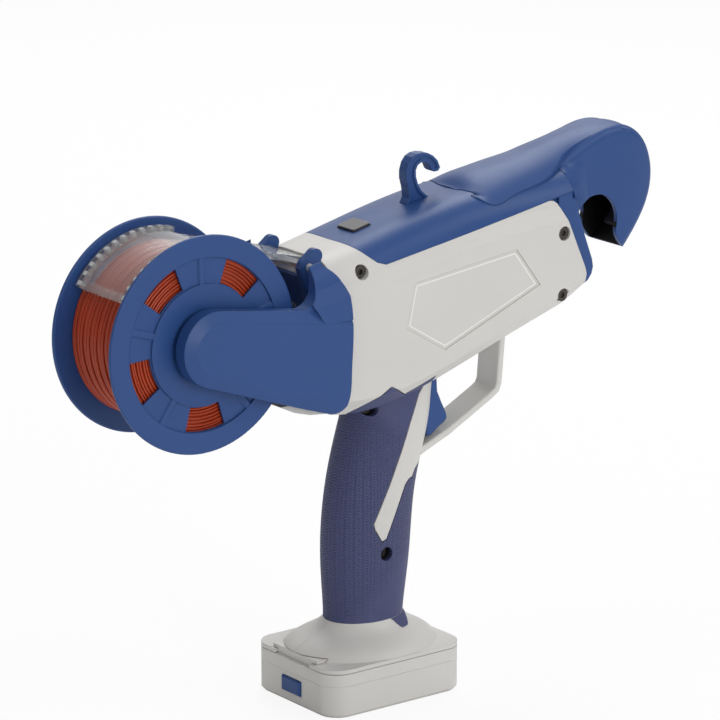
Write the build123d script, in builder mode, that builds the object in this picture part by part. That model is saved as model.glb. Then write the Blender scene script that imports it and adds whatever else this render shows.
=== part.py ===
from build123d import *
import math
import os

os.makedirs("parts", exist_ok=True)

# Electric vine tying tool, in millimetres.
# Origin: middle of the battery's underside. X forward to the beak, Y to the tool's left, Z up.

# Walls and fits
WALL = 2.6
RUNNING_GAP = 0.05

# Body envelope
BODY_HALF = 36.0
SHOULDER_HALF = 32.0
SHOULDER_DROP = 14.8
UPPER_BEVEL = 8.0
BELLY_HALF = 27.0
LOWER_BEVEL = 9.0
REAR_WALL_X = -39.0
ROOF_FRONT_X = 118.0

# Spool and its arms
SPOOL_X = -116.0
SPOOL_Z = 211.0
SPOOL_HALF = 26.5
FLANGE_RADIUS = 55.8
FLANGE_THICK = 2.2
FLANGE_RECESS = 1.0
HUB_RADIUS = 31.2
WINDOW_INNER = 31.8
WINDOW_OUTER = 44.2
WINDOW_SPAN = 31.0
WINDOW_COUNT = 5
FIRST_WINDOW = 55.0
CORE_RADIUS = 20.0
BORE_RADIUS = 8.0
ARM_INNER = 30.0
ARM_OUTER = 40.0
ARM_END_RADIUS = 19.5

# Tie wire
WIRE_DIAMETER = 2.0
WIRE_TURNS = 16.5
WIRE_BEND = 2.5
PACK_RADIUS = 42.8
WIRE_PATH_X = -44.0
WIRE_PATH_Z = 212.0
WIRE_PATH_TILT = 8.45

# Guard flap over the wire
GUARD_INNER = 45.8
GUARD_OUTER = 49.4
GUARD_HALF = 22.0
GUARD_START = 75.0
GUARD_END = 148.0
HINGE_X = -47.0
HINGE_Z = 239.5
HINGE_RADIUS = 4.4
NECK_HALF = 16.0
EAR_THICK = 4.0

# Grip, foot and battery
OVERMOULD = 2.2
GRIP_BOTTOM = 41.0
FOOT_BOTTOM = 24.0
FOOT_LENGTH = 88.0
FOOT_WIDTH = 71.0
BATTERY_HEIGHT = 23.7
CELL_RADIUS = 9.2
CELL_LENGTH = 65.0
CELL_COUNT = 4

BLADE_SPACING = 6.0
BLADE_TOP = 32.0

# Trigger
TRIGGER_HALF = 7.0
TRIGGER_PIVOT_X = 44.0
TRIGGER_PIVOT_Z = 180.5
GUARD_STRAP_HALF = 9.0

# Beak and mouth
BEAK_WALL = 2.6
BEAK_EDGE = 5.0
CORE_HALF = 30.0

# Twister
TWIST_TILT = 9.6
TWIST_X = 131.0
TWIST_Z = 220.0


def save(builder, name):
    builder.part.label = name
    export_step(builder.part, "parts/" + name + ".step")


def side_prism(points, y_low, y_high):
    """Closed outline in X and Z, carried from y_low to y_high."""
    with BuildPart() as prism:
        with BuildSketch(Plane.XZ.offset(-y_high)):
            with BuildLine():
                Polyline(*points, close=True)
            make_face()
        extrude(amount=y_high - y_low)
    return prism.part


def curved_prism(curve, corners, y_low, y_high):
    """One smooth stretch closed by straight runs through corners, carried from y_low to y_high."""
    with BuildPart() as prism:
        with BuildSketch(Plane.XZ.offset(-y_high)):
            with BuildLine():
                Spline(*curve)
                Polyline(curve[-1], *corners, curve[0])
            make_face()
        extrude(amount=y_high - y_low)
    return prism.part


def rounded_prism(points, radius, y_low, y_high):
    """The same outline with its corners rounded."""
    with BuildPart() as prism:
        with BuildSketch(Plane.XZ.offset(-y_high)) as outline:
            with BuildLine():
                Polyline(*points, close=True)
            make_face()
            fillet(outline.vertices(), radius)
        extrude(amount=y_high - y_low)
    return prism.part


def rod_y(radius, x, z, y_low, y_high):
    """Round bar along Y."""
    with BuildPart() as rod:
        with BuildSketch(Plane.XZ.offset(-y_high)):
            with Locations((x, z)):
                Circle(radius)
        extrude(amount=y_high - y_low)
    return rod.part


def rod_along(radius, start, direction, length):
    """Round bar from a point along any direction."""
    with BuildPart() as rod:
        with BuildSketch(Plane(origin=start, z_dir=direction)):
            Circle(radius)
        extrude(amount=length)
    return rod.part


def block(x_low, x_high, y_low, y_high, z_low, z_high):
    """Plain rectangular block between limits."""
    with BuildPart() as solid:
        with BuildSketch(Plane.XY.offset(z_low)):
            with Locations(((x_low + x_high) / 2, (y_low + y_high) / 2)):
                Rectangle(x_high - x_low, y_high - y_low)
        extrude(amount=z_high - z_low)
    return solid.part


def polar(radius, degrees):
    """Point on a circle about the spool axis."""
    angle = math.radians(degrees)
    return (SPOOL_X + radius * math.cos(angle), SPOOL_Z + radius * math.sin(angle))


# Body envelope: sections along X as station, crown height and belly height
BODY_STATIONS = [
    (-58.0, 238.0, 168.5),
    (-30.0, 244.3, 161.0),
    (-3.0, 250.8, 162.0),
    (35.0, 259.4, 171.7),
    (75.0, 264.8, 185.3),
    (132.0, 270.6, 204.6),
]


def body_envelope(inset, lift=0.0):
    """Arched roof, bevelled sides and narrower belly, drawn in by inset, with the roof lifted."""
    with BuildPart() as envelope:
        for station, crown, belly in BODY_STATIONS:
            top = crown + lift - inset
            low = belly + inset
            shoulder = crown + lift - SHOULDER_DROP - inset * 0.4
            with BuildSketch(Plane.YZ.offset(station)):
                with BuildLine():
                    half = SHOULDER_HALF - inset
                    Spline(
                        (-half, shoulder),
                        (-half * 0.90, top - SHOULDER_DROP * 0.50),
                        (-half * 0.72, top - SHOULDER_DROP * 0.16),
                        (0, top),
                        (half * 0.72, top - SHOULDER_DROP * 0.16),
                        (half * 0.90, top - SHOULDER_DROP * 0.50),
                        (half, shoulder),
                    )
                    Polyline(
                        (SHOULDER_HALF - inset, shoulder),
                        (BODY_HALF - inset, shoulder - UPPER_BEVEL),
                        (BODY_HALF - inset, low + LOWER_BEVEL),
                        (BELLY_HALF - inset, low),
                        (-BELLY_HALF + inset, low),
                        (-BODY_HALF + inset, low + LOWER_BEVEL),
                        (-BODY_HALF + inset, shoulder - UPPER_BEVEL),
                        (-SHOULDER_HALF + inset, shoulder),
                    )
                make_face()
        loft()
    return envelope.part


BODY_OUTER = body_envelope(0.0)
BODY_INNER = body_envelope(WALL)

# Side view limits of the grey shells and of the blue roof
REAR_SEAM = [
    (-47.0, 242.6),
    (-43.4, 239.8),
    (-38.4, 234.2),
    (-35.2, 225.6),
    (-33.7, 213.5),
    (-33.7, 201.5),
    (-34.6, 186.0),
    (-35.4, 175.5),
    (-38.4, 168.6),
    (-46.0, 166.0),
]
ROOF_SEAM = [
    (-22.0, 252.0),
    (-21.0, 247.0),
    (-18.5, 245.0),
    (-15.0, 241.6),
    (-11.5, 238.6),
    (-6.5, 237.0),
    (101.0, 255.3),
]
SHELL_FRONT = [
    (103.8, 254.9),
    (106.0, 253.2),
    (107.2, 251.0),
    (122.0, 217.5),
    (122.9, 214.0),
    (122.4, 211.0),
    (119.5, 205.5),
    (114.0, 198.0),
    (114.0, 140.0),
]
SHELL_CORNERS = [(-46.0, 140.0)] + list(reversed(ROOF_SEAM + SHELL_FRONT)) + [(-47.0, 252.0)]
SHELL_SIDES = curved_prism(REAR_SEAM, SHELL_CORNERS, -60, 60)
SHELL_SIDES = SHELL_SIDES - block(-80, REAR_WALL_X, -29.7, 29.7, 100, 300)
SHELL_REAR = block(REAR_WALL_X, -30.0, -29.7, 29.7, 140, 252)
# Belly that runs on between the arms, clear of the spool
TAIL_OUTLINE = [
    (REAR_WALL_X + 1.0, 171.8),
    (REAR_WALL_X + 1.0, 163.2),
    (-52.0, 164.6),
    (-62.0, 167.4),
    (-71.0, 171.8),
]
TAIL_HALF = 28.0
SPOOL_CLEAR = 2.0
SHELL_TAIL = side_prism(TAIL_OUTLINE, -TAIL_HALF, TAIL_HALF)
SHELL_TAIL = SHELL_TAIL - rod_y(FLANGE_RADIUS + SPOOL_CLEAR, SPOOL_X, SPOOL_Z, -60, 60)
ROOF_OUTLINE = ROOF_SEAM + [(ROOF_FRONT_X, 258.2), (ROOF_FRONT_X, 300.0), (-22.0, 300.0)]
ROOF_REGION = side_prism(ROOF_OUTLINE, -60, 60)

# Grip sections: height, middle in X, half depth and half width
GRIP_STATIONS = [
    (38.0, 2.2, 22.8, 17.3),
    (47.0, 2.6, 23.2, 17.5),
    (60.0, 3.1, 24.6, 18.0),
    (80.0, 3.9, 26.0, 18.8),
    (100.0, 5.4, 26.2, 19.0),
    (120.0, 9.0, 26.3, 19.3),
    (140.0, 14.4, 26.2, 19.5),
    (176.0, 22.0, 27.0, 20.5),
]


def grip_form(inset):
    """Hand grip as a stack of ovals, drawn in by inset."""
    with BuildPart() as form:
        for height, middle, depth, width in GRIP_STATIONS:
            with BuildSketch(Plane.XY.offset(height)):
                with Locations((middle, 0)):
                    Ellipse(depth - inset, width - inset)
        loft()
    return form.part


GRIP_OUTER = grip_form(0.0)
GRIP_CORE = grip_form(OVERMOULD)
GRIP_HOLLOW = grip_form(OVERMOULD + WALL)

# Top edge of the grip covering, seen from the side
COVER_TOP = [
    (-60.0, 159.0),
    (-30.0, 159.0),
    (-28.6, 161.0),
    (-28.6, 176.0),
    (29.0, 176.0),
    (30.0, 163.0),
    (39.0, 150.0),
    (39.0, 118.0),
    (60.0, 118.0),
    (60.0, GRIP_BOTTOM),
    (-60.0, GRIP_BOTTOM),
]
COVER_REGION = side_prism(COVER_TOP, -40, 40)
STRIP_OUTLINE = [
    (38.0, 172.0),
    (26.0, 160.0),
    (22.0, 152.0),
    (19.0, 146.0),
    (14.0, 134.0),
    (6.4, 116.0),
    (-3.6, 95.0),
    (-3.0, 92.0),
    (1.0, 85.0),
    (3.4, 86.0),
    (16.4, 113.0),
    (19.4, 115.6),
    (22.4, 116.0),
    (25.0, 120.0),
    (34.0, 124.0),
    (46.0, 130.0),
    (46.0, 172.0),
]
STRIP_REGION = side_prism(STRIP_OUTLINE, -40, 40)
# Narrow groove between the covering and the hard pieces beside it
SHADOW_GAP = 0.6
with BuildPart() as strip_room:
    with BuildSketch(Plane.XZ.offset(-40)):
        with BuildLine():
            Polyline(*STRIP_OUTLINE, close=True)
        make_face()
        offset(amount=SHADOW_GAP)
    extrude(amount=80)
TRIGGER_SLOT = block(20, 60, -TRIGGER_HALF - 0.5, TRIGGER_HALF + 0.5, 125, 190)

# Lap of the covering over the lower edge of the body, with its notched top edge
LAP_THICK = 1.2
LAP_OUTLINE = [
    (-28.6, 158.0),
    (-28.6, 161.4),
    (-6.2, 173.8),
    (7.5, 166.0),
    (26.6, 173.6),
    (27.2, 168.0),
    (25.0, 158.0),
]


def body_skin(outline):
    """Outer skin of the body inside a side outline, clear of the grip core and the grey strip."""
    with BuildPart() as skin:
        add(BODY_OUTER)
        add(body_envelope(LAP_THICK), mode=Mode.SUBTRACT)
        add(side_prism(outline, -40, 40), mode=Mode.INTERSECT)
        add(GRIP_CORE, mode=Mode.SUBTRACT)
        add(GRIP_OUTER & STRIP_REGION, mode=Mode.SUBTRACT)
        add(TRIGGER_SLOT, mode=Mode.SUBTRACT)
    return skin.part


LAP_SEAT = body_skin(LAP_OUTLINE)
COVER_LAP = body_skin([(x, z - SHADOW_GAP if z > 160 else z) for x, z in LAP_OUTLINE])

# Foot flare under the grip
with BuildPart() as foot_form:
    with BuildSketch(Plane.XY.offset(GRIP_BOTTOM)):
        with Locations((2.3, 0)):
            Ellipse(22.9, 17.4)
    with BuildSketch(Plane.XY.offset(36.0)):
        with Locations((1.5, 0)):
            Ellipse(28.5, 22.0)
    with BuildSketch(Plane.XY.offset(31.5)):
        Ellipse(38.0, 29.0)
    with BuildSketch(Plane.XY.offset(25.8)):
        Ellipse(44.0, 35.5)
    loft()
with BuildPart() as foot_plate:
    with BuildSketch(Plane.XY.offset(FOOT_BOTTOM)):
        RectangleRounded(FOOT_LENGTH, FOOT_WIDTH, 12)
    extrude(amount=2.2)
FOOT = foot_form.part + foot_plate.part


def inset_path(points, distance):
    """Open outline moved sideways by distance, to the right of its direction."""
    moved = []
    last = len(points) - 1
    for index, point in enumerate(points):
        before = points[max(index - 1, 0)]
        after = points[min(index + 1, last)]
        run = math.hypot(after[0] - before[0], after[1] - before[1])
        across = ((after[1] - before[1]) / run, -(after[0] - before[0]) / run)
        moved.append((point[0] + across[0] * distance, point[1] + across[1] * distance))
    return moved


# Screws that draw the two shells together: place in X and Z, then seat and tip in Y
LONG_SCREWS = [(-21.5, 235.0, -27.0, 12.0), (4.0, 77.6, -11.0, 11.0), (-2.0, 155.6, -6.0, 7.0)]
# Short screws, one each side, that hold the shells to the front housing
SHORT_SCREWS = [(107.5, 237.8), (107.3, 204.4)]
SCREW_RADIUS = 1.5
HEAD_RADIUS = 3.3
HEAD_HEIGHT = 2.4

# Both shells together before they are parted at the middle
path = math.radians(WIRE_PATH_TILT)
WIRE_AXIS = (math.cos(path), 0, math.sin(path))
with BuildPart() as bare_shell:
    add(BODY_OUTER)
    add(SHELL_SIDES + SHELL_REAR, mode=Mode.INTERSECT)
CAVITY = BODY_INNER & block(REAR_WALL_X + WALL, 200, -60, 60, 100, 300)
PANEL = [(8.5, 225.8), (75.5, 233.8), (91.5, 212.8), (28.5, 187.5), (3.5, 202.8)]
with BuildPart() as shell_pair:
    add(bare_shell.part)
    add(SHELL_TAIL)
    add(LAP_SEAT, mode=Mode.SUBTRACT)
    add(GRIP_CORE & block(-60, 80, -40, 40, GRIP_BOTTOM - 0.5, 174))
    add((GRIP_OUTER & STRIP_REGION) & block(-60, 80, -40, 40, GRIP_BOTTOM, 174))
    add(FOOT)
    add(CAVITY, mode=Mode.SUBTRACT)
    add(GRIP_HOLLOW & block(-60, 80, -40, 40, 38.0, 180), mode=Mode.SUBTRACT)
    for sign in (-1, 1):
        add(rod_y(4.6, TRIGGER_PIVOT_X, TRIGGER_PIVOT_Z, sign * 10.75 - 3.25, sign * 10.75 + 3.25))
    add(TRIGGER_SLOT, mode=Mode.SUBTRACT)
    add(rod_y(1.6, TRIGGER_PIVOT_X, TRIGGER_PIVOT_Z, -14, 14), mode=Mode.SUBTRACT)
    for sign in (-1, 1):
        add(side_prism(PANEL, sign * 36.0 - 0.6, sign * 36.0 + 0.6), mode=Mode.SUBTRACT)
    add(block(-60, 32, -19.3, 19.3, FOOT_BOTTOM + 1.8, FOOT_BOTTOM + 4.2), mode=Mode.SUBTRACT)
    add(block(-60, 32, -15.3, 15.3, FOOT_BOTTOM - 4, FOOT_BOTTOM + 2), mode=Mode.SUBTRACT)
    for y in (-BLADE_SPACING, BLADE_SPACING):
        add(block(8, 20, y - 0.4, y + 0.4, 20, BLADE_TOP), mode=Mode.SUBTRACT)
    add(rod_along(5.0, (WIRE_PATH_X, 0, WIRE_PATH_Z), WIRE_AXIS, 20), mode=Mode.SUBTRACT)
SHELL_PAIR = shell_pair.part


# One half with its screw bosses, before the screw holes
with BuildPart() as left_blank:
    add(SHELL_PAIR)
    add(block(-200, 200, 0, 60, 0, 320), mode=Mode.INTERSECT)
    for x, z, seat, tip in LONG_SCREWS:
        room = BODY_OUTER if z > 200 else GRIP_CORE
        boss = rod_y(5.0, x, z, seat - 5.0, 0) & room
        add(mirror(boss, about=Plane.XZ, mode=Mode.PRIVATE))
    for x, z in SHORT_SCREWS:
        add(rod_y(5.0, x, z, CORE_HALF + 0.1, BODY_HALF - 1.1) & BODY_OUTER)


def shell_half(sign):
    """One shell: sign -1 is the right half, 1 the left half."""
    with BuildPart() as half:
        if sign < 0:
            add(mirror(left_blank.part, about=Plane.XZ, mode=Mode.PRIVATE))
        else:
            add(left_blank.part)
        for x, z, seat, tip in LONG_SCREWS:
            if sign < 0:
                add(rod_y(HEAD_RADIUS + 0.5, x, z, -60, seat), mode=Mode.SUBTRACT)
                add(rod_y(SCREW_RADIUS + 0.2, x, z, -60, 0), mode=Mode.SUBTRACT)
            else:
                add(rod_y(SCREW_RADIUS, x, z, 0, tip), mode=Mode.SUBTRACT)
        for x, z in SHORT_SCREWS:
            add(rod_y(HEAD_RADIUS + 0.5, x, z, sign * 52.5 - 20, sign * 52.5 + 20), mode=Mode.SUBTRACT)
            add(rod_y(SCREW_RADIUS + 0.2, x, z, sign * 32 - 5, sign * 32 + 5), mode=Mode.SUBTRACT)
    return half


# Right and left body shells with the grip core and the foot
right_shell = shell_half(-1)
save(right_shell, "right_shell")
left_shell = shell_half(1)
save(left_shell, "left_shell")

# Screws, head and shank as one solid each
with BuildPart() as shell_screws:
    for x, z, seat, tip in LONG_SCREWS:
        add(rod_y(HEAD_RADIUS, x, z, seat - HEAD_HEIGHT, seat))
        add(rod_y(SCREW_RADIUS, x, z, seat, tip - 0.5))
        add(rod_y(1.5, x, z, seat - HEAD_HEIGHT, seat - 1.0), mode=Mode.SUBTRACT)
    for x, z in SHORT_SCREWS:
        for sign in (-1, 1):
            add(rod_y(HEAD_RADIUS, x, z, sign * 33.7 - 1.2, sign * 33.7 + 1.2))
            add(rod_y(SCREW_RADIUS, x, z, sign * 27.25 - 5.25, sign * 27.25 + 5.25))
            add(rod_y(1.5, x, z, sign * 34.4 - 0.6, sign * 34.4 + 0.6), mode=Mode.SUBTRACT)
save(shell_screws, "shell_screws")

# Roof of the body
POWER_X = -3.3
POWER_Z = 250.7
POWER_TILT = 13.3
POWER_LENGTH = 11.0
POWER_WIDTH = 14.5
tilt = math.radians(POWER_TILT)
POWER_PLANE = Plane(
    origin=(POWER_X, 0, POWER_Z),
    x_dir=(math.cos(tilt), 0, math.sin(tilt)),
    z_dir=(-math.sin(tilt), 0, math.cos(tilt)),
)


def power_block(length, width, corner, low, high):
    """Rounded block square to the roof at the power button."""
    with BuildPart() as solid:
        with BuildSketch(POWER_PLANE.offset(low)):
            RectangleRounded(length, width, corner)
        extrude(amount=high - low)
    return solid.part


with BuildPart() as top_cover:
    add(BODY_OUTER)
    add(ROOF_REGION, mode=Mode.INTERSECT)
    add(BODY_INNER, mode=Mode.SUBTRACT)
    add(power_block(POWER_LENGTH + 0.8, POWER_WIDTH + 0.8, 1.4, -12, 8), mode=Mode.SUBTRACT)
save(top_cover, "top_cover")

# Power button and the switch under it
with BuildPart() as power_button:
    add(power_block(POWER_LENGTH, POWER_WIDTH, 1.2, -5.0, 1.4))
save(power_button, "power_button")
with BuildPart() as power_switch:
    add(power_block(POWER_LENGTH + 7.0, POWER_WIDTH + 7.0, 1.2, -10.0, -2.75))
    add(power_block(POWER_LENGTH + 0.8, POWER_WIDTH + 0.8, 1.4, -6.6, 0), mode=Mode.SUBTRACT)
    add(BODY_INNER, mode=Mode.INTERSECT)
save(power_switch, "power_switch")

# Hanging hook on the roof
HOOK_HALF = 3.2
HOOK_OUTLINE = [
    (26.6, 254.9),
    (30.2, 261.4),
    (29.5, 266.8),
    (28.2, 271.4),
    (28.2, 275.6),
    (29.5, 279.8),
    (31.9, 282.7),
    (35.1, 284.1),
    (38.4, 284.3),
    (42.2, 283.7),
    (45.5, 281.9),
    (48.5, 279.0),
    (50.2, 275.2),
    (49.0, 273.5),
    (46.3, 273.3),
    (44.6, 274.6),
    (43.3, 277.3),
    (41.0, 279.2),
    (38.1, 279.5),
    (35.5, 278.1),
    (34.3, 275.6),
    (34.4, 272.2),
    (35.7, 268.2),
    (37.9, 264.4),
    (41.6, 261.2),
    (46.6, 259.4),
    (46.6, 254.9),
]
HOOK_RIM = 1.5
HOOK_GROOVE = 0.8
with BuildPart() as hook_groove:
    with BuildSketch(Plane.XZ.offset(HOOK_HALF - HOOK_GROOVE)):
        with BuildLine():
            Polyline(*HOOK_OUTLINE, close=True)
        make_face()
        offset(amount=-HOOK_RIM, mode=Mode.REPLACE)
    extrude(amount=4.0)
with BuildPart() as hanging_hook:
    add(rounded_prism(HOOK_OUTLINE, 0.7, -HOOK_HALF, HOOK_HALF))
    add(hook_groove.part, mode=Mode.SUBTRACT)
    add(mirror(hook_groove.part, about=Plane.XZ, mode=Mode.PRIVATE), mode=Mode.SUBTRACT)
    add(BODY_OUTER, mode=Mode.SUBTRACT)
save(hanging_hook, "hanging_hook")

# Beak: a hollow hook that arches over the mouth, with a saddle on the roof
BEAK_OUTER = [
    (118.2, 270.4),
    (128.0, 275.4),
    (138.0, 279.6),
    (147.0, 282.8),
    (157.0, 285.0),
    (167.0, 284.5),
    (176.0, 280.7),
    (183.0, 274.0),
    (187.4, 265.5),
    (189.2, 256.5),
    (188.4, 248.0),
    (185.2, 239.5),
    (180.0, 231.5),
    (174.2, 224.2),
    (168.2, 217.4),
]
MOUTH_EDGE = [
    (166.0, 218.4),
    (162.6, 222.4),
    (160.4, 227.4),
    (161.0, 233.0),
    (160.2, 239.4),
    (156.6, 245.2),
    (151.0, 248.9),
    (144.2, 249.6),
    (136.0, 247.2),
    (124.2, 243.6),
]
BEAK_PLAN = [
    (118.2, 18.4),
    (124.0, 17.6),
    (131.0, 16.9),
    (140.0, 16.2),
    (155.0, 15.6),
    (168.0, 15.0),
    (178.0, 14.0),
    (186.0, 12.4),
    (194.0, 10.6),
]
VOID_OUTER = inset_path(BEAK_OUTER, BEAK_WALL)
# Saddle sections: station, crown height, half width and drop of the edge
SADDLE_STATIONS = [
    (57.0, 263.6, 20.0, 1.9),
    (61.0, 266.0, 25.8, 6.0),
    (66.0, 268.6, 28.6, 10.5),
    (78.0, 271.2, 27.4, 10.9),
    (91.0, 273.4, 25.6, 10.2),
    (106.0, 275.7, 23.4, 9.4),
    (117.0, 278.2, 18.8, 6.2),
    (122.0, 279.5, 16.0, 4.9),
    (130.0, 281.3, 13.8, 3.8),
    (149.0, 284.9, 12.0, 1.9),
    (157.0, 285.7, 11.6, 1.3),
    (171.0, 283.3, 9.8, 1.0),
]
# Root sections: station, then half widths at rising heights from the front housing to the cheek's top
ROOT_STATIONS = [
    (ROOF_FRONT_X + 0.2, [(31.4, 255.6), (28.4, 261.2), (22.4, 266.2), (16.8, 268.2)]),
    (124.0, [(26.4, 252.0), (24.6, 259.0), (20.4, 266.4), (15.8, 271.2)]),
    (131.0, [(21.0, 250.0), (20.0, 258.0), (18.0, 266.8), (15.2, 274.4)]),
    (141.0, [(15.8, 249.0), (15.7, 258.0), (15.5, 268.0), (14.4, 278.4)]),
]
ROOT_LOW = 240.0
# Side view of the root, bounded below by the front housing and the mouth
BEAK_SIDE = [
    (100.0, 254.4),
    (120.8, 254.4),
    (124.2, 243.6),
    (136.0, 247.2),
    (144.2, 249.6),
    (144.2, 290.0),
    (100.0, 290.0),
]


def plan_prism(narrower):
    """Beak outline seen from above, drawn in by narrower on each side."""
    with BuildPart() as prism:
        with BuildSketch(Plane.XY.offset(190)):
            with BuildLine():
                right = [(x, narrower - y) for x, y in BEAK_PLAN]
                left = [(x, y - narrower) for x, y in BEAK_PLAN]
                Spline(*right)
                Line(right[-1], left[-1])
                Spline(*reversed(left))
                Line(left[0], right[0])
            make_face()
        extrude(amount=110)
    return prism.part


with BuildPart() as beak_form:
    with BuildSketch(Plane.XZ.offset(-40)):
        with BuildLine():
            Spline(*BEAK_OUTER)
            Line(BEAK_OUTER[-1], MOUTH_EDGE[0])
            Spline(*MOUTH_EDGE)
            Polyline(MOUTH_EDGE[-1], (120.8, 254.4), (118.2, 254.4), BEAK_OUTER[0])
        make_face()
    extrude(amount=80)
    add(plan_prism(0.0), mode=Mode.INTERSECT)
    outer_edges = beak_form.edges().filter_by(lambda e: (e @ 0.5).Z > 262 or (e @ 0.5).X > 172)
    outer_edges = outer_edges.filter_by(lambda e: abs((e @ 0.5).Y) > 6 and e.length > 60)
    fillet(outer_edges, BEAK_EDGE)
with BuildPart() as beak_void:
    with BuildSketch(Plane.XZ.offset(-40)):
        with BuildLine():
            Spline(*VOID_OUTER)
            Polyline(VOID_OUTER[-1], (160.0, 210.0), (140.0, 210.0), (118.0, 250.0), VOID_OUTER[0])
        make_face()
    extrude(amount=80)
    add(plan_prism(BEAK_WALL), mode=Mode.INTERSECT)
with BuildPart() as saddle:
    for station, crown, half, drop in SADDLE_STATIONS:
        with BuildSketch(Plane.YZ.offset(station)):
            with BuildLine():
                ThreePointArc((-half, crown - drop), (0, crown), (half, crown - drop))
                foot = crown - drop - 9.0
                edge = crown - drop
                Polyline((half, edge), (half - 1.0, foot), (-half + 1.0, foot), (-half, edge))
            make_face()
    loft()
    add(block(40, 200, -40, 40, 254, 300), mode=Mode.INTERSECT)
    add(BODY_OUTER & block(0, ROOF_FRONT_X + 0.2, -60, 60, 200, 300), mode=Mode.SUBTRACT)
with BuildPart() as beak_root:
    for station, flank in ROOT_STATIONS:
        with BuildSketch(Plane.YZ.offset(station)):
            with BuildLine():
                side = [(flank[0][0], ROOT_LOW)] + flank
                Polyline(*side, *[(-y, z) for y, z in reversed(side)], close=True)
            make_face()
    loft()
    add(side_prism(BEAK_SIDE, -40, 40), mode=Mode.INTERSECT)
with BuildPart() as beak_housing:
    add(beak_form.part)
    add(beak_root.part)
    add(saddle.part)
    add(beak_void.part, mode=Mode.SUBTRACT)
save(beak_housing, "beak_housing")

# Wire guide strip inside the beak
GUIDE_HALF = 6.0
GUIDE_OUTER = inset_path(BEAK_OUTER, BEAK_WALL + 0.15)[4:-1]
GUIDE_INNER = inset_path(BEAK_OUTER, BEAK_WALL + 3.4)[4:-1]
with BuildPart() as wire_guide_strip:
    with BuildSketch(Plane.XZ.offset(-GUIDE_HALF)):
        with BuildLine():
            Spline(*GUIDE_OUTER)
            Line(GUIDE_OUTER[-1], GUIDE_INNER[-1])
            Spline(*reversed(GUIDE_INNER))
            Line(GUIDE_INNER[0], GUIDE_OUTER[0])
        make_face()
    extrude(amount=2 * GUIDE_HALF)
save(wire_guide_strip, "wire_guide_strip")

# Front housing that closes the body under the beak
FRONT_OUTLINE = [
    (96.0, 250.0),
    (101.5, 255.2),
    (117.9, 258.0),
    (118.0, 254.2),
    (120.6, 254.1),
    (126.8, 234.6),
    (132.6, 219.4),
    (133.4, 215.2),
    (132.4, 211.2),
    (129.6, 207.7),
    (124.2, 205.2),
    (96.0, 195.5),
]
FRONT_HOLLOW = [
    (90.0, 246.5),
    (115.0, 253.0),
    (118.0, 250.8),
    (123.9, 233.5),
    (129.5, 218.6),
    (130.2, 215.2),
    (129.4, 212.6),
    (127.4, 210.2),
    (123.4, 208.2),
    (90.0, 196.9),
]
twist = math.radians(TWIST_TILT)
TWIST_AXIS = (math.cos(twist), 0, math.sin(twist))


def on_twist_axis(x):
    """Point on the twister axis at a given X."""
    return (x, 0, TWIST_Z + (x - TWIST_X) * math.tan(twist))


def on_wire_path(x):
    """Point on the straight wire path inside the body."""
    return (x, 0, WIRE_PATH_Z + (x - WIRE_PATH_X) * math.tan(math.radians(WIRE_PATH_TILT)))


TWISTER_RADIUS = 8.0
FRONT_ROOM = block(123.3, 160, -CORE_HALF, CORE_HALF, 203, 256)
FRONT_ROOM = FRONT_ROOM + block(108.4, 160, -CORE_HALF, CORE_HALF, 214, 258.2)
FRONT_ROOM = FRONT_ROOM + block(90, 160, -CORE_HALF, CORE_HALF, 214, 246)
with BuildPart() as front_housing:
    add(side_prism(FRONT_OUTLINE, -CORE_HALF, CORE_HALF))
    front_edges = front_housing.edges().filter_by(lambda e: (e @ 0.5).X > 123 and abs((e @ 0.5).Y) > 29)
    fillet(front_edges.filter_by(lambda e: abs((e % 0.5).Y) < 0.1), 2.0)
    add(side_prism(FRONT_HOLLOW, -CORE_HALF + 3, CORE_HALF - 3), mode=Mode.SUBTRACT)
    add(BODY_INNER + FRONT_ROOM, mode=Mode.INTERSECT)
    add(rod_along(TWISTER_RADIUS + RUNNING_GAP, on_twist_axis(115), TWIST_AXIS, 40), mode=Mode.SUBTRACT)
    add(rod_along(3.0, on_wire_path(110), WIRE_AXIS, 40), mode=Mode.SUBTRACT)
    for x, z in SHORT_SCREWS:
        add(rod_y(SCREW_RADIUS, x, z, -CORE_HALF, CORE_HALF), mode=Mode.SUBTRACT)
save(front_housing, "front_housing")

# Spool arms with the rear cheeks of the body
ARM_TOP = [(-112.0, 230.1), (-64.0, 222.8)]
ARM_BELLY = [(-60.0, 170.6), (-122.5, 192.6)]
POCKET_RADIUS = 9.6
POCKET_SIDE = ARM_TOP[-1][0] + POCKET_RADIUS
POCKET_MIDDLE = ARM_TOP[-1][1] + POCKET_RADIUS
BEVEL_WIDTH = 6.4
BEVEL_DEPTH = 2.6
BEVEL_RUN = 100.0


def arm_outline(radius):
    """Round arm end at a radius, with its two tangent sides carried forward."""
    rise = math.atan2(ARM_TOP[1][1] - ARM_TOP[0][1], ARM_TOP[1][0] - ARM_TOP[0][0])
    fall = math.atan2(ARM_BELLY[0][1] - ARM_BELLY[1][1], ARM_BELLY[0][0] - ARM_BELLY[1][0])
    turn = math.pi - rise + fall
    ends = []
    for lean, side in ((rise, 1), (fall, -1)):
        touch = (SPOOL_X - side * radius * math.sin(lean), SPOOL_Z + side * radius * math.cos(lean))
        reach = (BEVEL_RUN * math.cos(lean), BEVEL_RUN * math.sin(lean))
        ends.append((touch, (touch[0] + reach[0], touch[1] + reach[1])))
    (top_touch, top_end), (low_touch, low_end) = ends
    Line(top_end, top_touch)
    CenterArc((SPOOL_X, SPOOL_Z), radius, math.degrees(rise) + 90, math.degrees(turn))
    Polyline(low_touch, low_end, top_end)


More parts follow.
